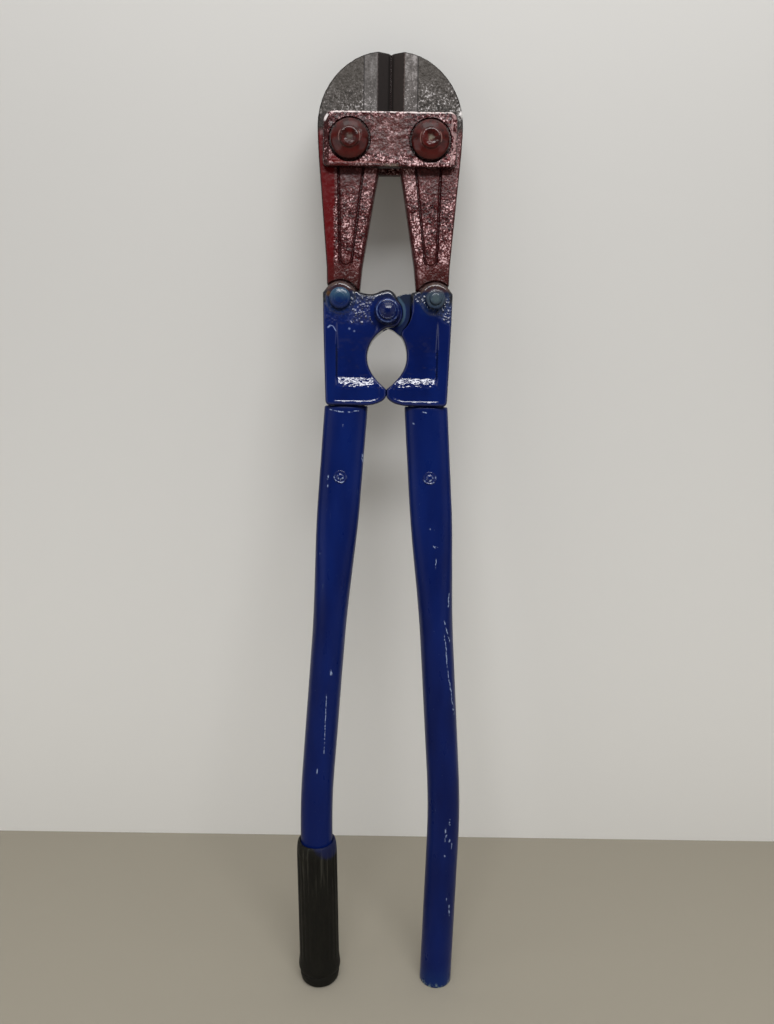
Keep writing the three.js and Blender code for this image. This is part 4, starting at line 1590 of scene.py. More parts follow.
@dataclass
class Jaw:
    """One blade with its lever arm.

    Attributes:
        side: Half of the tool.
        face: Half of its thickness.
        heel: Height where the ground faces stop.
        blade_centre: Centre of the blade's rounded back.
        blade_radius: Radius of that back.
        band: x of the ground band's outer edge.
        band_face: Half thickness at the band's inner edge.
        bevel: x of the cutting bevel's outer edge.
        cutting_face: Half thickness at the cutting edge.
        tongue: Half thickness of the tongue in the knuckle.
        shoulder: Radius of the step around the tongue.
        flank: Width of the sloped flank along the arm's inner edge.
        flank_drop: How far that flank falls back.
        seeds: Pick the hammered patterns of the front and the rear.
    """

    side: Side
    face: float = 9.0
    heel: float = 832.0
    blade_centre: Point = (1.8, 834.0)
    blade_radius: float = 62.0
    band: float = 23.4
    band_face: float = 8.2
    bevel: float = 11.8
    cutting_face: float = 0.5
    tongue: float = 6.5
    shoulder: float = 17.4
    flank: float = 3.2
    flank_drop: float = 1.9
    seeds: tuple[int, int] = (3, 8)

    def outline(self) -> Array:
        """Points of the jaw's outline."""
        outline = Outline(SEAM, self.heel)
        outline.line((9.1, 797), (12.4, 780.5), (23.3, 715), (25.3, 694.6))
        outline.line(polar(LINK_PIVOT, 14.2, 150)).arc(LINK_PIVOT, 14.2, 150, 400)
        outline.line((55.1, 700), (55.3, 714), (60.7, 783))
        outline.curve((61.9, 797), (63.8, 818), (63.8, self.blade_centre[1]))
        outline.arc(self.blade_centre, self.blade_radius, 0, 88.4)
        outline.curve((2.6, 896), (1, 895.6), (SEAM, 894.8))
        return outline.loop(1.1)

    def _thickness(self, x: Array, z: Array, seed: int) -> Array:
        """Half thickness over the jaw.

        Args:
            x: Distances from the middle of the tool.
            z: Heights.
            seed: Picks the hammered pattern.

        Returns:
            Half thickness at each point.
        """
        places = np.stack([x, z], axis=1)
        ground = ramp(self.heel - 0.4, self.heel + 0.4, z)
        band = np.interp(x, [self.bevel, self.band], [self.band_face, self.face])
        bevel = np.interp(x, [GAP, self.bevel], [self.cutting_face, self.band_face])
        half = self.face + ground * (np.where(x < self.bevel, bevel, band) - self.face)
        in_panel = depth_inside(places, JAW_PANEL.loop())
        half -= JAW_PANEL.groove * ramp(-0.6, 0.5, in_panel)
        half += (JAW_PANEL.groove - JAW_PANEL.depth) * ramp(0.9, 2.5, in_panel)
        rough = 0.2 * hammered(x, z, 3.1, seed) + 0.13 * hammered(x, z, 1.9, seed + 1)
        calm = np.where((x < self.band) & (z > self.heel), 0.06, 1.0)
        calm = calm * (1 - 0.9 * ramp(-1.5, -0.6, in_panel) * ramp(3.4, 2.4, in_panel))
        calm = calm * (1 - 0.8 * ramp(49, 51.5, x) * ramp(self.heel, self.heel - 8, z))
        inner = (x < JAW_PANEL.inner(z)) * ramp(self.heel, self.heel - 6, z)
        width = self.flank * (0.7 + 0.3 * ramp(790, 730, z))
        flank = inner * ramp(width, 0.4, depth_inside(places, self.outline()))
        calm = calm * (1 - 0.8 * np.minimum(flank * 4, 1))
        half += rough * calm - 0.2 - self.flank_drop * flank
        from_link = np.hypot(x - LINK_PIVOT[0], z - LINK_PIVOT[1])
        return np.where(from_link < self.shoulder, self.tongue, half)

    def make(self, material: Material) -> None:
        """Builds the jaw in its finish."""
        heights = np.arange(self.heel, 897, 1.3)
        across = np.arange(GAP + 0.6, self.band, 1.2)
        front, rear = (seed + self.side.sign for seed in self.seeds)
        forging = Forging(
            self.outline(),
            lambda x, z: -self._thickness(x, z, front),
            lambda x, z: self._thickness(x, z, rear),
            edge=2.0,
            spacing=1.15,
            creases=[
                *((JAW_PANEL.loop(shrink), True) for shrink in (-0.6, 0.0, 0.5, 1.1, 1.8, 2.5)),
                *(upright(x, heights) for x in (self.band, self.bevel)),
                *(level(self.heel + rise, across) for rise in (-0.4, 0.4)),
                *((circle(LINK_PIVOT, self.shoulder + more, 1.2), True) for more in (-0.1, 0.15)),
            ],
        )
        piece = forging.make(f"{self.side}_jaw_forging", self.side)
        carve(piece, bores(self.side, (JAW_PIVOT, JAW_BORE), (LINK_PIVOT, LINK_BORE)))
        settle(piece, self.side.jaw, "blade_steel", material, f"{self.side}_jaw")


# ---- straps ----


@dataclass
class Straps:
    """The two plates that carry the jaw bolts.

    Attributes:
        half_width: Half of their width.
        bottom: Height of the lower edge.
        top: Height of the upper edge.
        corner: Radius of the lower corners; the upper ones are rounder.
        inner: y of the inner faces, without sign.
        slope_width: Width of the sloped ends of the outer faces.
        slope_depth: How far the ends fall back.
        seat_radius: Radius of the sunk seats of the bolt heads.
        seat_depth: Depth of those seats.
    """

    half_width: float = 58.6
    bottom: float = 798.2
    top: float = 843.5
    corner: float = 4.5
    inner: float = 9.3
    slope_width: float = 5.6
    slope_depth: float = 3.2
    seat_radius: float = 18.2
    seat_depth: float = 1.4

    def _outline(self) -> Array:
        """Points of a plate's outline."""
        round_by = (self.corner, 6.0, 8.0, self.corner)
        places = [(side * (self.half_width - r), r) for side, r in zip((1, 1, -1, -1), round_by)]
        outline = Outline(places[3][0], self.bottom)
        for i, (x, r) in enumerate(places):
            z = self.top - r if i in (1, 2) else self.bottom + r
            outline.arc((x, z), r, 90 * (i - 1), 90 * i)
        return outline.loop(1.1)

    def _outer(self, x: Array, z: Array, seed: int) -> Array:
        """y of the outer face, without sign: sloped ends, a thin lip below and hammer marks."""
        slope = np.clip((np.abs(x) - self.half_width + self.slope_width) / self.slope_width, 0, 1)
        lip = 0.5 * ramp(self.bottom + 4.6, self.bottom + 3.4, z) * (x < 8)
        rough = 0.17 * hammered(x, z, 2.6, seed) + 0.12 * hammered(x, z, 1.7, seed + 1)
        dish = 0.35 * ramp(40, 10, np.hypot(x, (z - 820) * 1.6))
        from_bolt = np.hypot(np.abs(x) - JAW_PIVOT[0], z - JAW_PIVOT[1])
        seat = self.seat_depth * ramp(self.seat_radius + 0.5, self.seat_radius - 0.4, from_bolt)
        return STRAP_FACE - 0.25 - slope * self.slope_depth - dish - lip - seat + rough

    def make(self, material: Material) -> None:
        """Builds both plates in their finish."""
        rise = np.arange(self.bottom + 0.8, self.top - 0.5, 1.1)
        run = np.arange(-self.half_width + 6, 8.5, 1.2)
        seats = [
            (circle(side.spot(JAW_PIVOT), self.seat_radius + more, 1.0), True)
            for side in Side
            for more in (-0.4, 0.5)
        ]
        creases = [
            *(upright(s * (self.half_width - self.slope_width), rise) for s in (-1, 1)),
            *(level(self.bottom + h, run) for h in (3.4, 4.6)),
            *seats,
        ]
        faces = {
            "front": (lambda x, z: -self._outer(x, z, 5), flat(-self.inner)),
            "rear": (flat(self.inner), lambda x, z: self._outer(-x, z, 15)),
        }
        for name, (near, far) in faces.items():
            plate = Forging(self._outline(), near, far, edge=1.4, spacing=1.1, creases=creases)
            piece = plate.make(f"{name}_strap", Side.RIGHT)
            holes = [(side.spot(JAW_PIVOT), JAW_BORE) for side in (Side.RIGHT, Side.LEFT)]
            carve(piece, bores(Side.RIGHT, *holes))
            settle(piece, Body.STRAP, "red_paint", material, f"{name}_strap_plate")


# ---- knuckles ----


@dataclass
class Knuckle:
    """Forged handle end: two ears for the jaw's tongue, and its half of the centre joint.

    Attributes:
        side: Half of the tool; the left one has the cheeks and the right one the tongue.
        edge: Radius of its rounded edges.
        slot: Half width of its slots.
        bottom: Height of its lower edge.
        hollow: Depth of the hollow in its faces.
        rim: Width of the rounded rim along the top.
        bead: How far the lip along the bottom stands above the face inside it.
        lip: Distances from the outline between which that lip falls away.
        slope: Heights where the hollow starts, is at its deepest and begins to run out.
        bolt_path: Places of the centre bolt on the right knuckle while the tool opens.
        lobe: Radius of the left knuckle's lobe.
        lobe_clear: Radius of the room for it in the right one.
        tongue: Half thickness of the right knuckle's tongue.
    """

    side: Side
    edge: float = 2.4
    slot: float = 6.8
    bottom: float = 591.5
    hollow: float = 3.2
    rim: float = 4.4
    bead: float = 0.6
    lip: Point = (3.0, 4.6)
    slope: Place = (607.4, 616.8, 640.0)
    bolt_path: Profile = ((-2.5, 678.0), (-1.2, 676.6), CENTRE_PIVOT, (1.9, 675.2), (3.7, 674.3))
    lobe: float = 14.4
    lobe_clear: float = 20.6
    tongue: float = 6.5

    def _flank(self, outline: Outline) -> Outline:
        """Adds the outer side and the ear, from the lower corner to the ear's inner end."""
        outline.line((51.5, self.bottom))
        outline.curve((54.2, self.bottom), (55.7, 593), (55.8, self.bottom + 4.5))
        outline.line((57, 632), (58, 666), (58.4, 691.6))
        return outline.arc(LINK_PIVOT, 15.5, 43, 152)

    def _outline(self) -> Array:
        """Points of the knuckle's outline."""
        outline = Outline(SEAM, 600.6).curve((0.6, 597.3), (5, 593.0), (17, self.bottom))
        self._flank(outline)
        if self.side is Side.LEFT:
            outline.curve((25, 693.2), (20, 691.2), (15.5, 691.2))
            outline.curve((10, 691.2), (7, 695.3), (0, 695.3))
            outline.curve((-4.6, 695.3), (-8, 690.6), polar(CENTRE_PIVOT, self.lobe, 135))
            outline.arc(CENTRE_PIVOT, self.lobe, 135, 215)
            outline.curve((-10, 662.4), (-6, 661.6), (0, 661.4))
            outline.curve((11, 656.5), (18.1, 646), (18.1, 635.5))
        else:
            outline.line((22, 693), (20.6, 691))
            outline.arc(CENTRE_PIVOT, self.lobe_clear, 0, -45).line((12.9, 658), (12.4, 654.4))
            outline.curve((16, 650), (18.1, 643), (18.1, 635.5))
        outline.curve((18.1, 626), (12.6, 616.5), (1.2, 607.4)).line((SEAM, 606.2))
        return outline.loop(1.1)

    def _thickness(self, x: Array, z: Array, seed: int) -> Array:
        """Half thickness over the knuckle.

        Args:
            x: Distances from the middle of the tool, positive on its own side.
            z: Heights.
            seed: Picks the hammered pattern.

        Returns:
            Half thickness at each point.
        """
        sides = ramp(46.8, 44.4, x) * ramp(6.5, 12.5, x)
        deep = np.interp(z, [*self.slope, 674], [0, 1, 1, 0])
        deep = deep * (1 - 0.12 * hammered(x, z, 9, seed + 4))
        rough = 0.2 * hammered(x, z, 3.4, seed) + 0.12 * hammered(x, z, 2.1, seed + 1)
        calm = ramp(44, 47, x) * 0.75 + ramp(607, 603, z) * 0.6 + ramp(666, 660, z) * 0.35
        wet = 1 - np.clip(calm, 0, 0.85)
        rough_zone = 1 - 0.4 * ramp(604, 608, z) * ramp(624, 618, z)
        half = KNUCKLE_FACE - 0.75 - self.hollow * sides * deep
        from_link = np.hypot(x - LINK_PIVOT[0], z - LINK_PIVOT[1])
        half -= 0.9 * ramp(12.6, 14.2, from_link) * ramp(648, 676, z)
        clear = ramp(13, 15, from_link)
        if self.side is Side.LEFT:
            pitted = ramp(10, 15, x) * ramp(664, 669, z) * ramp(690, 687, z) * clear
            rough_zone += 1.1 * pitted
            from_centre = np.hypot(x - CENTRE_PIVOT[0], z - CENTRE_PIVOT[1])
            wet = wet * (1 - 0.8 * ramp(18, 15, from_centre))
        else:
            facet = ramp(586, 582, FACET[0] * x + FACET[1] * z) * ramp(640, 660, z)
            rough_zone += 1.1 * (1 - facet) * ramp(655, 664, z) * clear
            wet = wet * (1 - 0.8 * facet)
        half += rough * wet * rough_zone
        inside = depth_inside(np.stack([x, z], axis=1), self._outline())
        lip = np.clip((self.lip[1] - inside) / (self.lip[1] - self.lip[0]), 0, 1) - 1
        half += self.bead * lip * ramp(612, 606, z) * ramp(50, 46, x) * ramp(5, 8, x)
        half -= 0.1 * ramp(604, 600, z)
        rim = self.rim - np.clip(inside, 0, self.rim)
        drop = self.rim - np.sqrt(self.rim**2 - rim**2)
        half -= drop * ramp(27.5, 24, x) * ramp(668, 680, z)
        return np.minimum(half, KNUCKLE_FACE)

    def _slots(self) -> list[Object]:
        """Cutters for the slots between the ears and between the cheeks."""
        x, z = LINK_PIVOT
        swing = Outline(x + 13, z - 6).line((x + 40, z - 6), (x + 40, z + 40), (x - 22, z + 40))
        swing.line((x - 22, z + 6.4), (x - 13, z + 6.4))
        loops = [swing.loop(60.0), circle(LINK_PIVOT, 14.6, 1.2)]
        if self.side is Side.LEFT:
            x, z = CENTRE_PIVOT
            swing = Outline(x, z - 30).line((x, z - 10), (x + 13.4, z + 4.2), (x + 20.1, z + 19.5))
            swing.line((x + 20.1, z + 40), (x - 40, z + 40), (x - 40, z - 30))
            loops += [swing.loop(90.0), circle((1.8, 675.0), 15.9, 1.2)]
        return [
            prism(f"{self.side}_slot_{i}", loop, -self.slot, self.slot, self.side)
            for i, loop in enumerate(loops)
        ]

    def _tongue(self) -> Object:
        """The right knuckle's tongue between the left one's cheeks, with its slot."""
        outline = Outline(23.5, 659).line((23.5, 692.4), (15, 692))
        outline.arc(CENTRE_PIVOT, 14, 68, 270).line((5.6, 659.4), (13, 653.6))
        plate = Forging(outline.loop(1.4), flat(-self.tongue), flat(self.tongue), 0.5, 3.0)
        tongue = plate.make("right_knuckle_tongue", Side.RIGHT)
        carve(tongue, bores(Side.RIGHT, *((place, CENTRE_BORE) for place in self.bolt_path)))
        return tongue

    def _tang(self) -> Object:
        """The neck that goes down into the tube, seen in the slit above the tube's end."""
        angles = np.linspace(0, FULL_TURN, 64, endpoint=False)
        plan = [(560.0, 10.0), (560.0, 3.4), (570, 3.0), (592, 3.0), (594, 3.2), (594.0, 10.0)]
        rings = np.array([HANDLE.ring(z, inset_by, angles) for z, inset_by in plan])
        rings[..., 0] *= self.side.sign
        return ring_skin(f"{self.side}_knuckle_tang", rings, flip=self.side is Side.LEFT)

    def _lobe_room(self) -> list[Object]:
        """Cutters in front of and behind the tongue, for the left knuckle's lobe."""
        sweep = [circle(place, 18.4, 1.2) for place in ((0, 675.5), (3.6, 674.6))]
        spans = {"front": (-THROUGH, -self.tongue), "rear": (self.tongue, THROUGH)}
        return [
            prism(f"right_lobe_room_{i}_{face}", loop, *span, Side.RIGHT)
            for i, loop in enumerate(sweep)
            for face, span in spans.items()
        ]

    def make(self, material: Material) -> None:
        """Builds the knuckle in its finish."""
        seed = 21 if self.side is Side.LEFT else 51
        loop = self._outline()
        creases = [level(height, np.arange(2.0, 50, 1.2)) for height in self.slope]
        for distance in self.lip:
            line = inset(loop, distance)
            creases.append((line[(line[:, 1] < 612) & (line[:, 0] > 6)], False))
        forging = Forging(
            loop,
            lambda x, z: -self._thickness(x, z, seed),
            lambda x, z: self._thickness(x, z, seed + 9),
            edge=self.edge,
            spacing=1.2,
            creases=creases,
        )
        piece = forging.make(f"{self.side}_knuckle_forging", self.side)
        cutters = self._slots()
        if self.side is Side.LEFT:
            cutters += bores(self.side, (LINK_PIVOT, LINK_BORE), (CENTRE_PIVOT, CENTRE_BORE))
        else:
            cutters += bores(self.side, (LINK_PIVOT, LINK_BORE)) + self._lobe_room()
        carve(piece, cutters)
        pieces = [piece, self._tang()]
        if self.side is Side.RIGHT:
            pieces.append(self._tongue())
        for piece in pieces:
            settle(piece, self.side.handle, "blue_paint", material, f"{self.side}_knuckle")


# ---- handle tubes and grip ----


@dataclass(frozen=True)
class HandleLine:
    """Centre line and section of a handle tube.

    Attributes:
        radius: Radius of the round part.
        bend_x: Distance from the middle of the tool at the bend.
        bend_z: Height of the bend.
        upper: Slope above the bend.
        lower: Slope below it.
        bend_half: Half of the bend's length.
        flat_width: Half width of the flattened part.
        flat_depth: Half depth of the flattened part.
        round_z: Height where the flattening starts.
        flat_z: Height where it is complete.
    """

    radius: float = 16.1
    bend_x: float = 64.8
    bend_z: float = 192.4
    upper: float = -0.0695
    lower: float = 0.0243
    bend_half: float = 38.0
    flat_width: float = 20.2
    flat_depth: float = 10.8
    round_z: float = 365.0
    flat_z: float = 505.0

    def x(self, z: float) -> float:
        """Distance of the centre line from the middle of the tool at a height."""
        rise = z - self.bend_z
        if rise > self.bend_half:
            return self.bend_x + self.upper * rise
        start = max(rise + self.bend_half, 0.0)
        turn = (self.upper - self.lower) * start**2 / (4 * self.bend_half)
        return self.bend_x + self.lower * rise + turn

    def ring(self, z: float, inset_by: float, angles: Array) -> Array:
        """Points of the tube's section at a height.

        Args:
            z: The height.
            inset_by: How far inside the outer skin.
            angles: Angles of the points.

        Returns:
            Points in space, right-hand side.
        """
        flat = float(ramp(self.round_z, self.flat_z, np.array(z)))
        power = 2 / (2 + 0.7 * flat)
        width = self.radius + (self.flat_width - self.radius) * flat - inset_by
        depth = self.radius + (self.flat_depth - self.radius) * flat - inset_by
        c, s = np.cos(angles), np.sin(angles)
        across = np.sign(c) * np.abs(c) ** power * width
        through = np.sign(s) * np.abs(s) ** power * depth
        return np.stack([self.x(z) + across, through, 0 * across + z], axis=1)


HANDLE = HandleLine()


@dataclass
class HandleTube:
    """A bent steel tube.

    Attributes:
        side: Half of the tool.
        top: Height of its upper end.
        bottom: Height of its lower end.
        wall: Thickness of its wall.
        bore_depth: How far its open end is hollow.
        steps: Points around it.
        girth: Length that one radian counts in the pattern of its dents.
    """

    side: Side
    top: float = 590.9
    bottom: float = 0.0
    wall: float = 2.6
    bore_depth: float = 70.0
    steps: int = 80
    girth: float = 16.0

    def _plan(self) -> list[Point]:
        """Height and inset of each ring: up the bore, over the foot, the skin and the top."""
        bore, wall = self.bore_depth, self.wall
        foot = [(bore, wall + 12), (bore, wall), (bore / 2, wall), (0.7, wall), (0.2, wall - 0.5)]
        foot += [(0, wall - 1.0), (0, 0.8), (0.3, 0.25), (0.9, 0.0)]
        head = [(1.4, 0.05), (0.7, 0.3), (0.2, 0.8), (0, 1.5), (0, wall), (0.4, wall + 0.3)]
        head += [(8, wall + 0.35), (8, wall + 5)]
        return [
            *((self.bottom + rise, inset_by) for rise, inset_by in foot),
            *((z, 0.0) for z in np.linspace(self.bottom + 4, self.top - 4, 118)),
            *((self.top - drop, inset_by) for drop, inset_by in head),
        ]

    def make(self, material: Material) -> None:
        """Builds the tube in its finish."""
        left = self.side is Side.LEFT
        angles = np.linspace(0, FULL_TURN, self.steps, endpoint=False)
        rings = np.array([HANDLE.ring(z, inset_by, angles) for z, inset_by in self._plan()])
        z = rings[..., 2]
        turn = np.broadcast_to(angles, z.shape) * self.girth
        dent = 0.1 * hammered(turn, z, 30, 5 if left else 6)
        centre = rings.mean(1, keepdims=True)
        rings = centre + (rings - centre) * (1 - (0.02 + np.abs(dent))[..., None] / HANDLE.radius)
        rings[..., 2] = z
        rings[..., 0] *= self.side.sign
        piece = ring_skin(f"{self.side}_tube_skin", rings, flip=left)
        settle(piece, self.side.handle, "blue_paint", material, f"{self.side}_handle_tube")


@dataclass
class Grip:
    """Fluted rubber sleeve with a closed end on the left handle.

    Attributes:
        top: Height of its rim.
        flutes: Number of flutes around it.
        radius: Radius over the flutes.
        base: Thickness of its closed end.
        foot: Height and radius of its outside up to where the flutes start.
        rim: Rise above the top and radius, over the rim and down inside it.
        inside: How many places of the rim are inside.
    """

    top: float = 154.0
    flutes: int = 22
    radius: float = 20.3
    base: float = 3.8
    foot: Profile = (
        (0.0, 8.0), (0.0, 16.2), (1.2, 17.9), (3.2, 19.2), (7.0, 20.0), (11.4, 20.2),
        (12.4, 19.6), (13.3, 20.7), (14.6, 21.2), (16.6, 21.4), (20.0, 21.1), (25.5, 20.5),
    )
    rim: Profile = (
        (-9.5, 20.2), (-6, 19.9), (-3, 19.5), (-0.8, 19.0), (0, 18.4),
        (0, 17.1), (-0.8, 16.5), (-5, 16.4), (-13, 16.3), (-13, 8.0),
    )
    inside: int = 5

    def make(self, material: Material) -> None:
        """Builds the grip in its finish."""
        angles = np.linspace(0, FULL_TURN, self.flutes * 12, endpoint=False)
        plan = [
            *self.foot,
            *((z, self.radius) for z in np.linspace(28, self.top - 13, 61)),
            *((self.top + rise, radius) for rise, radius in self.rim),
        ]
        heights, radii = (column[:, None] for column in np.array(plan).T)
        end = self.top - 10
        depth = ramp(26, 32, heights) * ramp(end, end - 5, heights)
        depth *= 0.4 + 0.8 * ramp(95, 122, heights)
        depth[-self.inside :] = 0
        reach = radii - depth * (0.5 + 0.5 * np.cos(self.flutes * angles)) ** 1.6
        centre = np.array([[HANDLE.x(z)] for z, _ in plan])
        across = Side.LEFT.sign * (centre + reach * np.cos(angles))
        skin = np.stack([across, reach * np.sin(angles), heights + 0 * reach], axis=2)
        piece = ring_skin("left_grip_sleeve", skin, crease=50, flip=True)
        settle(piece, Body.LEFT_HANDLE, "rubber", material, "left_grip")


# ---- fasteners ----


@dataclass
class JawFasteners:
    """Bolts, washers and nuts that the jaws turn on.

    Attributes:
        head: Radius of the domed heads.
        boss: Radius of the boss on each head.
        bolt_end: Radius and height of the bolts' rear ends, from inside the nut.
        washer: Radius, thickness and chamfer of the rear washers.
        nut: Width across the flats, height and radius of the top of the rear nuts.
    """

    head: float = 17.0
    boss: float = 8.8
    bolt_end: Profile = ((0, -45), (8, -45), (8, 2.0), (6.6, 3.0), (0, 3.0))
    washer: Place = (15.0, 2.5, 0.6)
    nut: Place = (24.0, 12.0, 10.6)

    def _head_profile(self) -> list[Point]:
        """Radius and height of the head, from its foot to the top of the boss."""
        cap = ((0.6, 0.0), (0.0, 0.9), (0.6, 2.3), (2.2, 3.6), (4.6, 4.8))
        boss = ((-1.2, 5.7), (-0.2, 6.1), (0.2, 7.2), (1.2, 7.9), (3.0, 7.9), (5.6, 7.7))
        return [
            (0.0, 0.0),
            *((self.head - less, height) for less, height in cap),
            *((self.boss - less, height) for less, height in boss),
            (0.0, 7.65),
        ]

    def make(self, red: Material, steel: Material) -> None:
        """Builds the fasteners of both jaws.

        Args:
            red: Finish of the bolts and nuts.
            steel: Finish of the washers.
        """
        seat = STRAP_FACE + GAP
        nut_foot = seat + self.washer[1] + GAP
        for side in Side:
            name, pivot = side.value, side.spot(JAW_PIVOT)
            head = turned(
                f"{name}_bolt_head", self._head_profile(), pivot, seat - 0.25, Face.FRONT, 1.2
            )
            settle(head, Body.STRAP, "red_paint", red, f"{name}_jaw_bolt")
            reach = nut_foot + self.nut[1]
            end = turned(f"{name}_bolt_end", self.bolt_end, pivot, reach, Face.REAR, 0.6)
            settle(end, Body.STRAP, "red_paint", red, f"{name}_jaw_bolt")
            ring = washer_profile(*self.washer)
            washer = turned(f"{name}_washer_ring", ring, pivot, seat - 0.2, Face.REAR, 0.3)
            settle(washer, Body.STRAP, "plain_steel", steel, f"{name}_jaw_washer")
            nut = hexagon(f"{name}_hex_nut", self.nut, pivot, nut_foot - 0.2, Face.REAR)
            settle(nut, Body.STRAP, "red_paint", red, f"{name}_jaw_nut")


@dataclass
class LinkFasteners:
    """Bolts and nuts of the two links; the left head is in front and the right nut is.

    Attributes:
        head: Radius and height of the domed heads.
        bolt_end: Radius and height of the bolts' other ends, from inside the nut.
        nut: Width across the flats, height and radius of the top of the nuts.
    """

    head: Profile = (
        (0, 0), (9.4, 0), (9.7, 0.9), (9.3, 2.2), (8.2, 3.3), (6.2, 3.9), (3.4, 4.3), (0, 4.5)
    )
    bolt_end: Profile = ((0, -40), (5.5, -40), (5.5, 1.0), (4.6, 2.0), (2.6, 2.35), (0, 2.4))
    nut: Place = (17.0, 5.6, 7.4)

    def make(self, material: Material) -> None:
        """Builds the fasteners of both links."""
        seat, reach = KNUCKLE_FACE, KNUCKLE_FACE + self.nut[1]
        faces = ((Side.LEFT, Face.FRONT, Face.REAR), (Side.RIGHT, Face.REAR, Face.FRONT))
        for side, front, back in faces:
            name, pivot = side.value, side.spot(LINK_PIVOT)
            head = turned(f"{name}_link_head", self.head, pivot, seat, front, 1.6)
            settle(head, side.handle, "blue_paint", material, f"{name}_link_bolt")
            end = turned(f"{name}_link_end", self.bolt_end, pivot, reach, back, 0.9)
            settle(end, side.handle, "blue_paint", material, f"{name}_link_bolt")
            nut = hexagon(f"{name}_link_hex", self.nut, pivot, seat, back)
            settle(nut, side.handle, "blue_paint", material, f"{name}_link_nut")


@dataclass
class CentreFasteners:
    """Bolt, washer and nut that join the two knuckles.

    Attributes:
        head: Radius and height of the domed rear head.
        bolt_end: Radius and height of the bolt's front end, from inside the knuckles.
        washer: Radius, thickness and chamfer of the washer.
        nut: Width across the flats, height and radius of the top of the nut.
    """

    head: Profile = (
        (0, 0), (11.1, 0), (11.5, 1.2), (10.9, 3), (9.2, 4.6), (6.6, 5.6), (3.4, 6), (0, 6)
    )
    bolt_end: Profile = (
        (0, -40), (6.5, -40), (6.5, -1.6), (7.4, -1.4), (7.4, 0.9),
        (7.0, 1.5), (6.4, 1.1), (4.6, 2.2), (2.2, 3.0), (0, 3.2),
    )
    washer: Place = (12.0, 1.6, 0.4)
    nut: Place = (22.0, 6.5, 8.9)

    def make(self, material: Material) -> None:
        """Builds the centre joint's fasteners."""
        seat, nut_foot = KNUCKLE_FACE, KNUCKLE_FACE + self.washer[1]
        reach, pivot = nut_foot + self.nut[1], CENTRE_PIVOT
        ring = washer_profile(*self.washer)
        pieces = {
            turned("centre_bolt_head", self.head, pivot, seat, Face.REAR, 1.8): "centre_bolt",
            turned("centre_bolt_end", self.bolt_end, pivot, reach, Face.FRONT, 1.0): "centre_bolt",
            turned("centre_washer_ring", ring, pivot, seat, Face.FRONT, 0.3): "centre_washer",
            hexagon("centre_hex", self.nut, pivot, nut_foot, Face.FRONT): "centre_nut",
        }
        for piece, node in pieces.items():
            settle(piece, Body.LEFT_HANDLE, "blue_paint", material, node)


@dataclass
class TubeRivets:
    """Rivets through each tube and the tang inside it.

    Attributes:
        shape: Radius and height of their heads, from inside the tube.
    """

    shape: Profile = (
        (0, -8), (4, -8), (4, 0), (6.2, 0), (6.1, 0.5),
        (5.4, 0.9), (4.3, 0.3), (3.2, 0.6), (1.8, 1.2), (0, 1.3),
    )

    def make(self, material: Material) -> None:
        """Builds both rivets."""
        for side in Side:
            pivot = side.spot((HANDLE.x(RIVET_HEIGHT), RIVET_HEIGHT))
            for face in Face:
                name = f"{side}_rivet_{face.name.lower()}"
                head = turned(name, self.shape, pivot, HANDLE.flat_depth - 0.1, face, 0.5)
                settle(head, side.handle, "blue_paint", material, f"{side}_tube_rivet")


# ---- studio ----


@dataclass(frozen=True)
class Lamp:
    """An oblong soft lamp.

    Attributes:
        name: Its name.
        place: Its place in metres.
        size: Its width and height.
        power: Its power in watts.
        aim: Point that it faces.
    """

    name: str
    place: Place
    size: Point
    power: float
    aim: Place = (0, 0, 0.55)

    def make(self) -> None:
        """Hangs the lamp."""
        data = bpy.data.lights.new(self.name, "AREA")
        data.shape = "RECTANGLE"
        data.size, data.size_y = self.size
        data.energy = self.power
        lamp = placed(self.name, data)
        lamp.location = self.place
        turn = (Vector(self.aim) - Vector(self.place)).to_track_quat("-Z", "Y")
        lamp.rotation_euler = turn.to_euler()


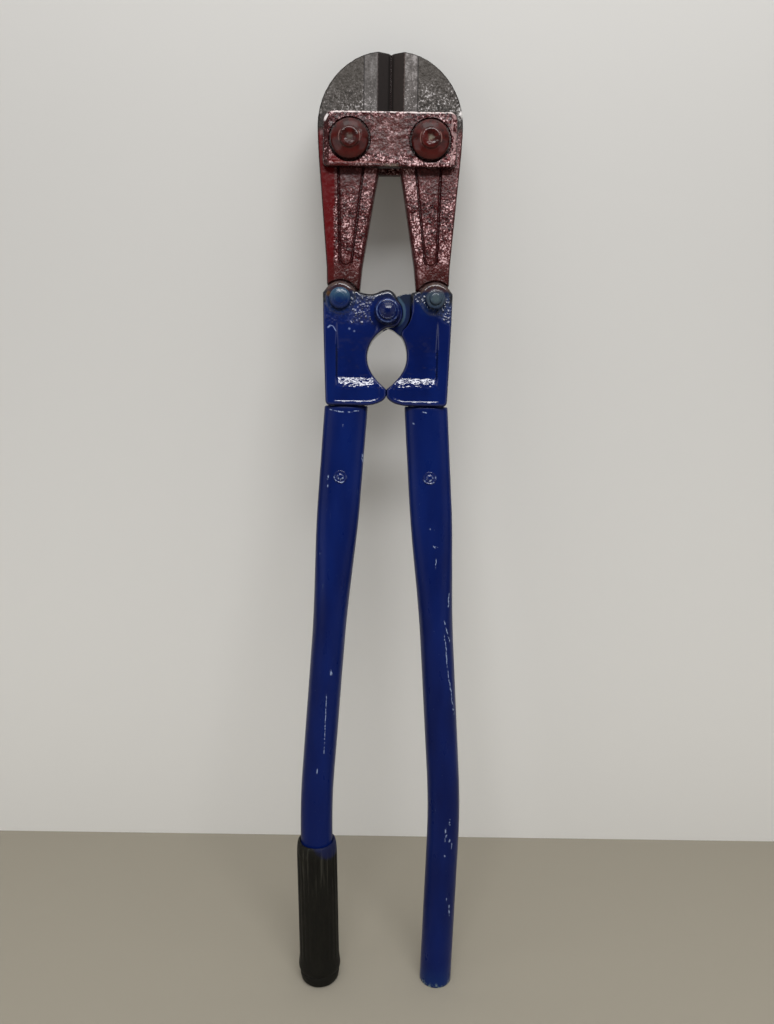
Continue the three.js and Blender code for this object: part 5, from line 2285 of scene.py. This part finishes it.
@dataclass
class Studio:
    """Floor, wall, lamps, world and camera.

    Attributes:
        reach: How far floor and wall reach to each side, in metres.
        wall_y: Distance of the wall's foot behind the tool, in metres.
        wall_height: Height of the wall.
        wall_lean: How far the wall comes forward for each metre of height; the tool leans on it.
        paler: How much paler the wall is at its foot, where less light falls.
        wall_colour: Colour of the wall.
        floor_colour: Colour of the floor.
        sky_colour: Colour of the room's light.
        lamps: The lamps.
        camera_place: Place of the camera in metres.
        camera_turns: Its turns in degrees, each about an axis.
        lens: Its focal length.
    """

    reach: float = 4.0
    wall_y: float = 0.26
    wall_height: float = 1.6
    wall_lean: float = 0.255
    paler: float = 1.48
    wall_colour: Colour = srgb(205, 204, 202)
    floor_colour: Colour = srgb(150, 144, 131)
    sky_colour: Colour = (1.0, 0.99, 0.97)
    lamps: tuple[Lamp, ...] = (
        Lamp("key", (0.15, -1.25, 1.62), (1.3, 0.25), 22),
        Lamp("left", (-1.5, -1.3, 0.6), (1.3, 1.5), 5.5),
        Lamp("right", (1.5, -1.3, 0.6), (1.3, 1.5), 3.5),
        Lamp("top", (0.0, -1.0, 2.3), (1.2, 0.8), 5),
    )
    camera_place: Place = (0.0006, -0.7249, 0.6001)
    camera_turns: tuple[tuple[float, str], ...] = ((-0.14, "Z"), (81.46, "X"), (0.89, "Z"))
    lens: float = 27.07

    def _plane(self, name: str, near: Point, far: Point, material: Material) -> None:
        """A flat stage piece across the room.

        Args:
            name: Name of the object.
            near: y and z of its first edge, in metres.
            far: y and z of its other edge.
            material: Its finish.
        """
        left, right = -self.reach, self.reach
        corners = [(left, *near), (right, *near), (right, *far), (left, *far)]
        mesh = bpy.data.meshes.new(name)
        mesh.from_pydata(corners, [], [[0, 1, 2, 3]])
        mesh.materials.append(material)
        plane = placed(name, mesh)

    def _floor(self) -> None:
        """Matt plain floor."""
        s = Shader("floor_plain", Gloss(0.2))
        material = s.finish(base_color=(*self.floor_colour, 1.0), roughness=0.7)
        self._plane("floor", (-self.reach, 0), (self.reach, 0), material)

    def _wall(self) -> None:
        """Matt plain wall, paler below, that isn't there from behind."""
        s = Shader("wall_plain", Gloss(0.2))
        below = tuple(min(c * self.paler, 0.9) for c in self.wall_colour)
        behind = s.node("NewGeometry", out="Backfacing")
        clear = s.node("BsdfTransparent")
        blend = s.node("MixShader", {}, {0: behind, 1: s.skin, 2: clear})
        shade = s.mix(s.z.step(900, 100), self.wall_colour, below)
        material = s.finish(blend, base_color=shade, roughness=0.7)
        head = self.wall_y - self.wall_lean * self.wall_height
        self._plane("wall", (self.wall_y, 0), (head, self.wall_height), material)

    def _world(self) -> None:
        """Soft room light, brighter from above, and a plain pale backdrop for the camera."""
        world = bpy.data.worlds.new("room")
        bpy.context.scene.world = world
        world.use_nodes = True
        sky = Nodes(world.node_tree)
        place = sky.node("TexCoord", out="Generated")
        height = sky.node("SeparateXYZ", {}, {0: place}, out="Z")
        strength = height.step(0.2, 0.95) * 0.85 + 0.05
        light = {"Color": (*self.sky_colour, 1.0), "Strength": strength}
        room = sky.node("Background", {}, light)
        backdrop = sky.node("Background", {}, {"Color": (*self.wall_colour, 1.0)})
        seen = sky.node("LightPath", out="Is Camera Ray")
        blend = sky.node("MixShader", {}, {0: seen, 1: room, 2: backdrop})
        sky.add("OutputWorld", {}, {"Surface": blend})

    def _camera(self) -> None:
        """Camera in front of the tool, looking slightly down."""
        data = bpy.data.cameras.new("camera")
        data.sensor_width = 36.0
        data.lens = self.lens
        camera = placed("camera", data)
        camera.location = self.camera_place
        aim = Matrix.Identity(4)
        for degrees, axis in self.camera_turns:
            aim = aim @ Matrix.Rotation(math.radians(degrees), 4, axis)
        camera.rotation_euler = aim.to_euler()
        bpy.context.scene.camera = camera

    def make(self) -> None:
        """Builds the studio."""
        bpy.context.scene.view_settings.view_transform = "Standard"
        self._floor()
        self._wall()
        for lamp in self.lamps:
            lamp.make()
        self._world()
        self._camera()


def main() -> None:
    """Builds the tool and the studio."""
    logging.basicConfig(level=logging.INFO, format="%(name)s %(message)s")
    Studio().make()
    enamel = KnucklePaint().material()
    for side, bottom in ((Side.LEFT, Grip.base), (Side.RIGHT, 0.0)):
        Jaw(side).make(JAW_FINISHES[side].material())
        Knuckle(side).make(enamel)
        HandleTube(side, bottom=bottom).make(TubePaint(side=side).material())
    Straps().make(StrapPaint().material())
    JawFasteners().make(BoltPaint().material(), PlainSteel().material())
    blue = FastenerPaint().material()
    LinkFasteners().make(blue)
    CentreFasteners().make(blue)
    TubeRivets().make(blue)
    Grip().make(GripRubber().material())


if __name__ == "__main__":
    main()
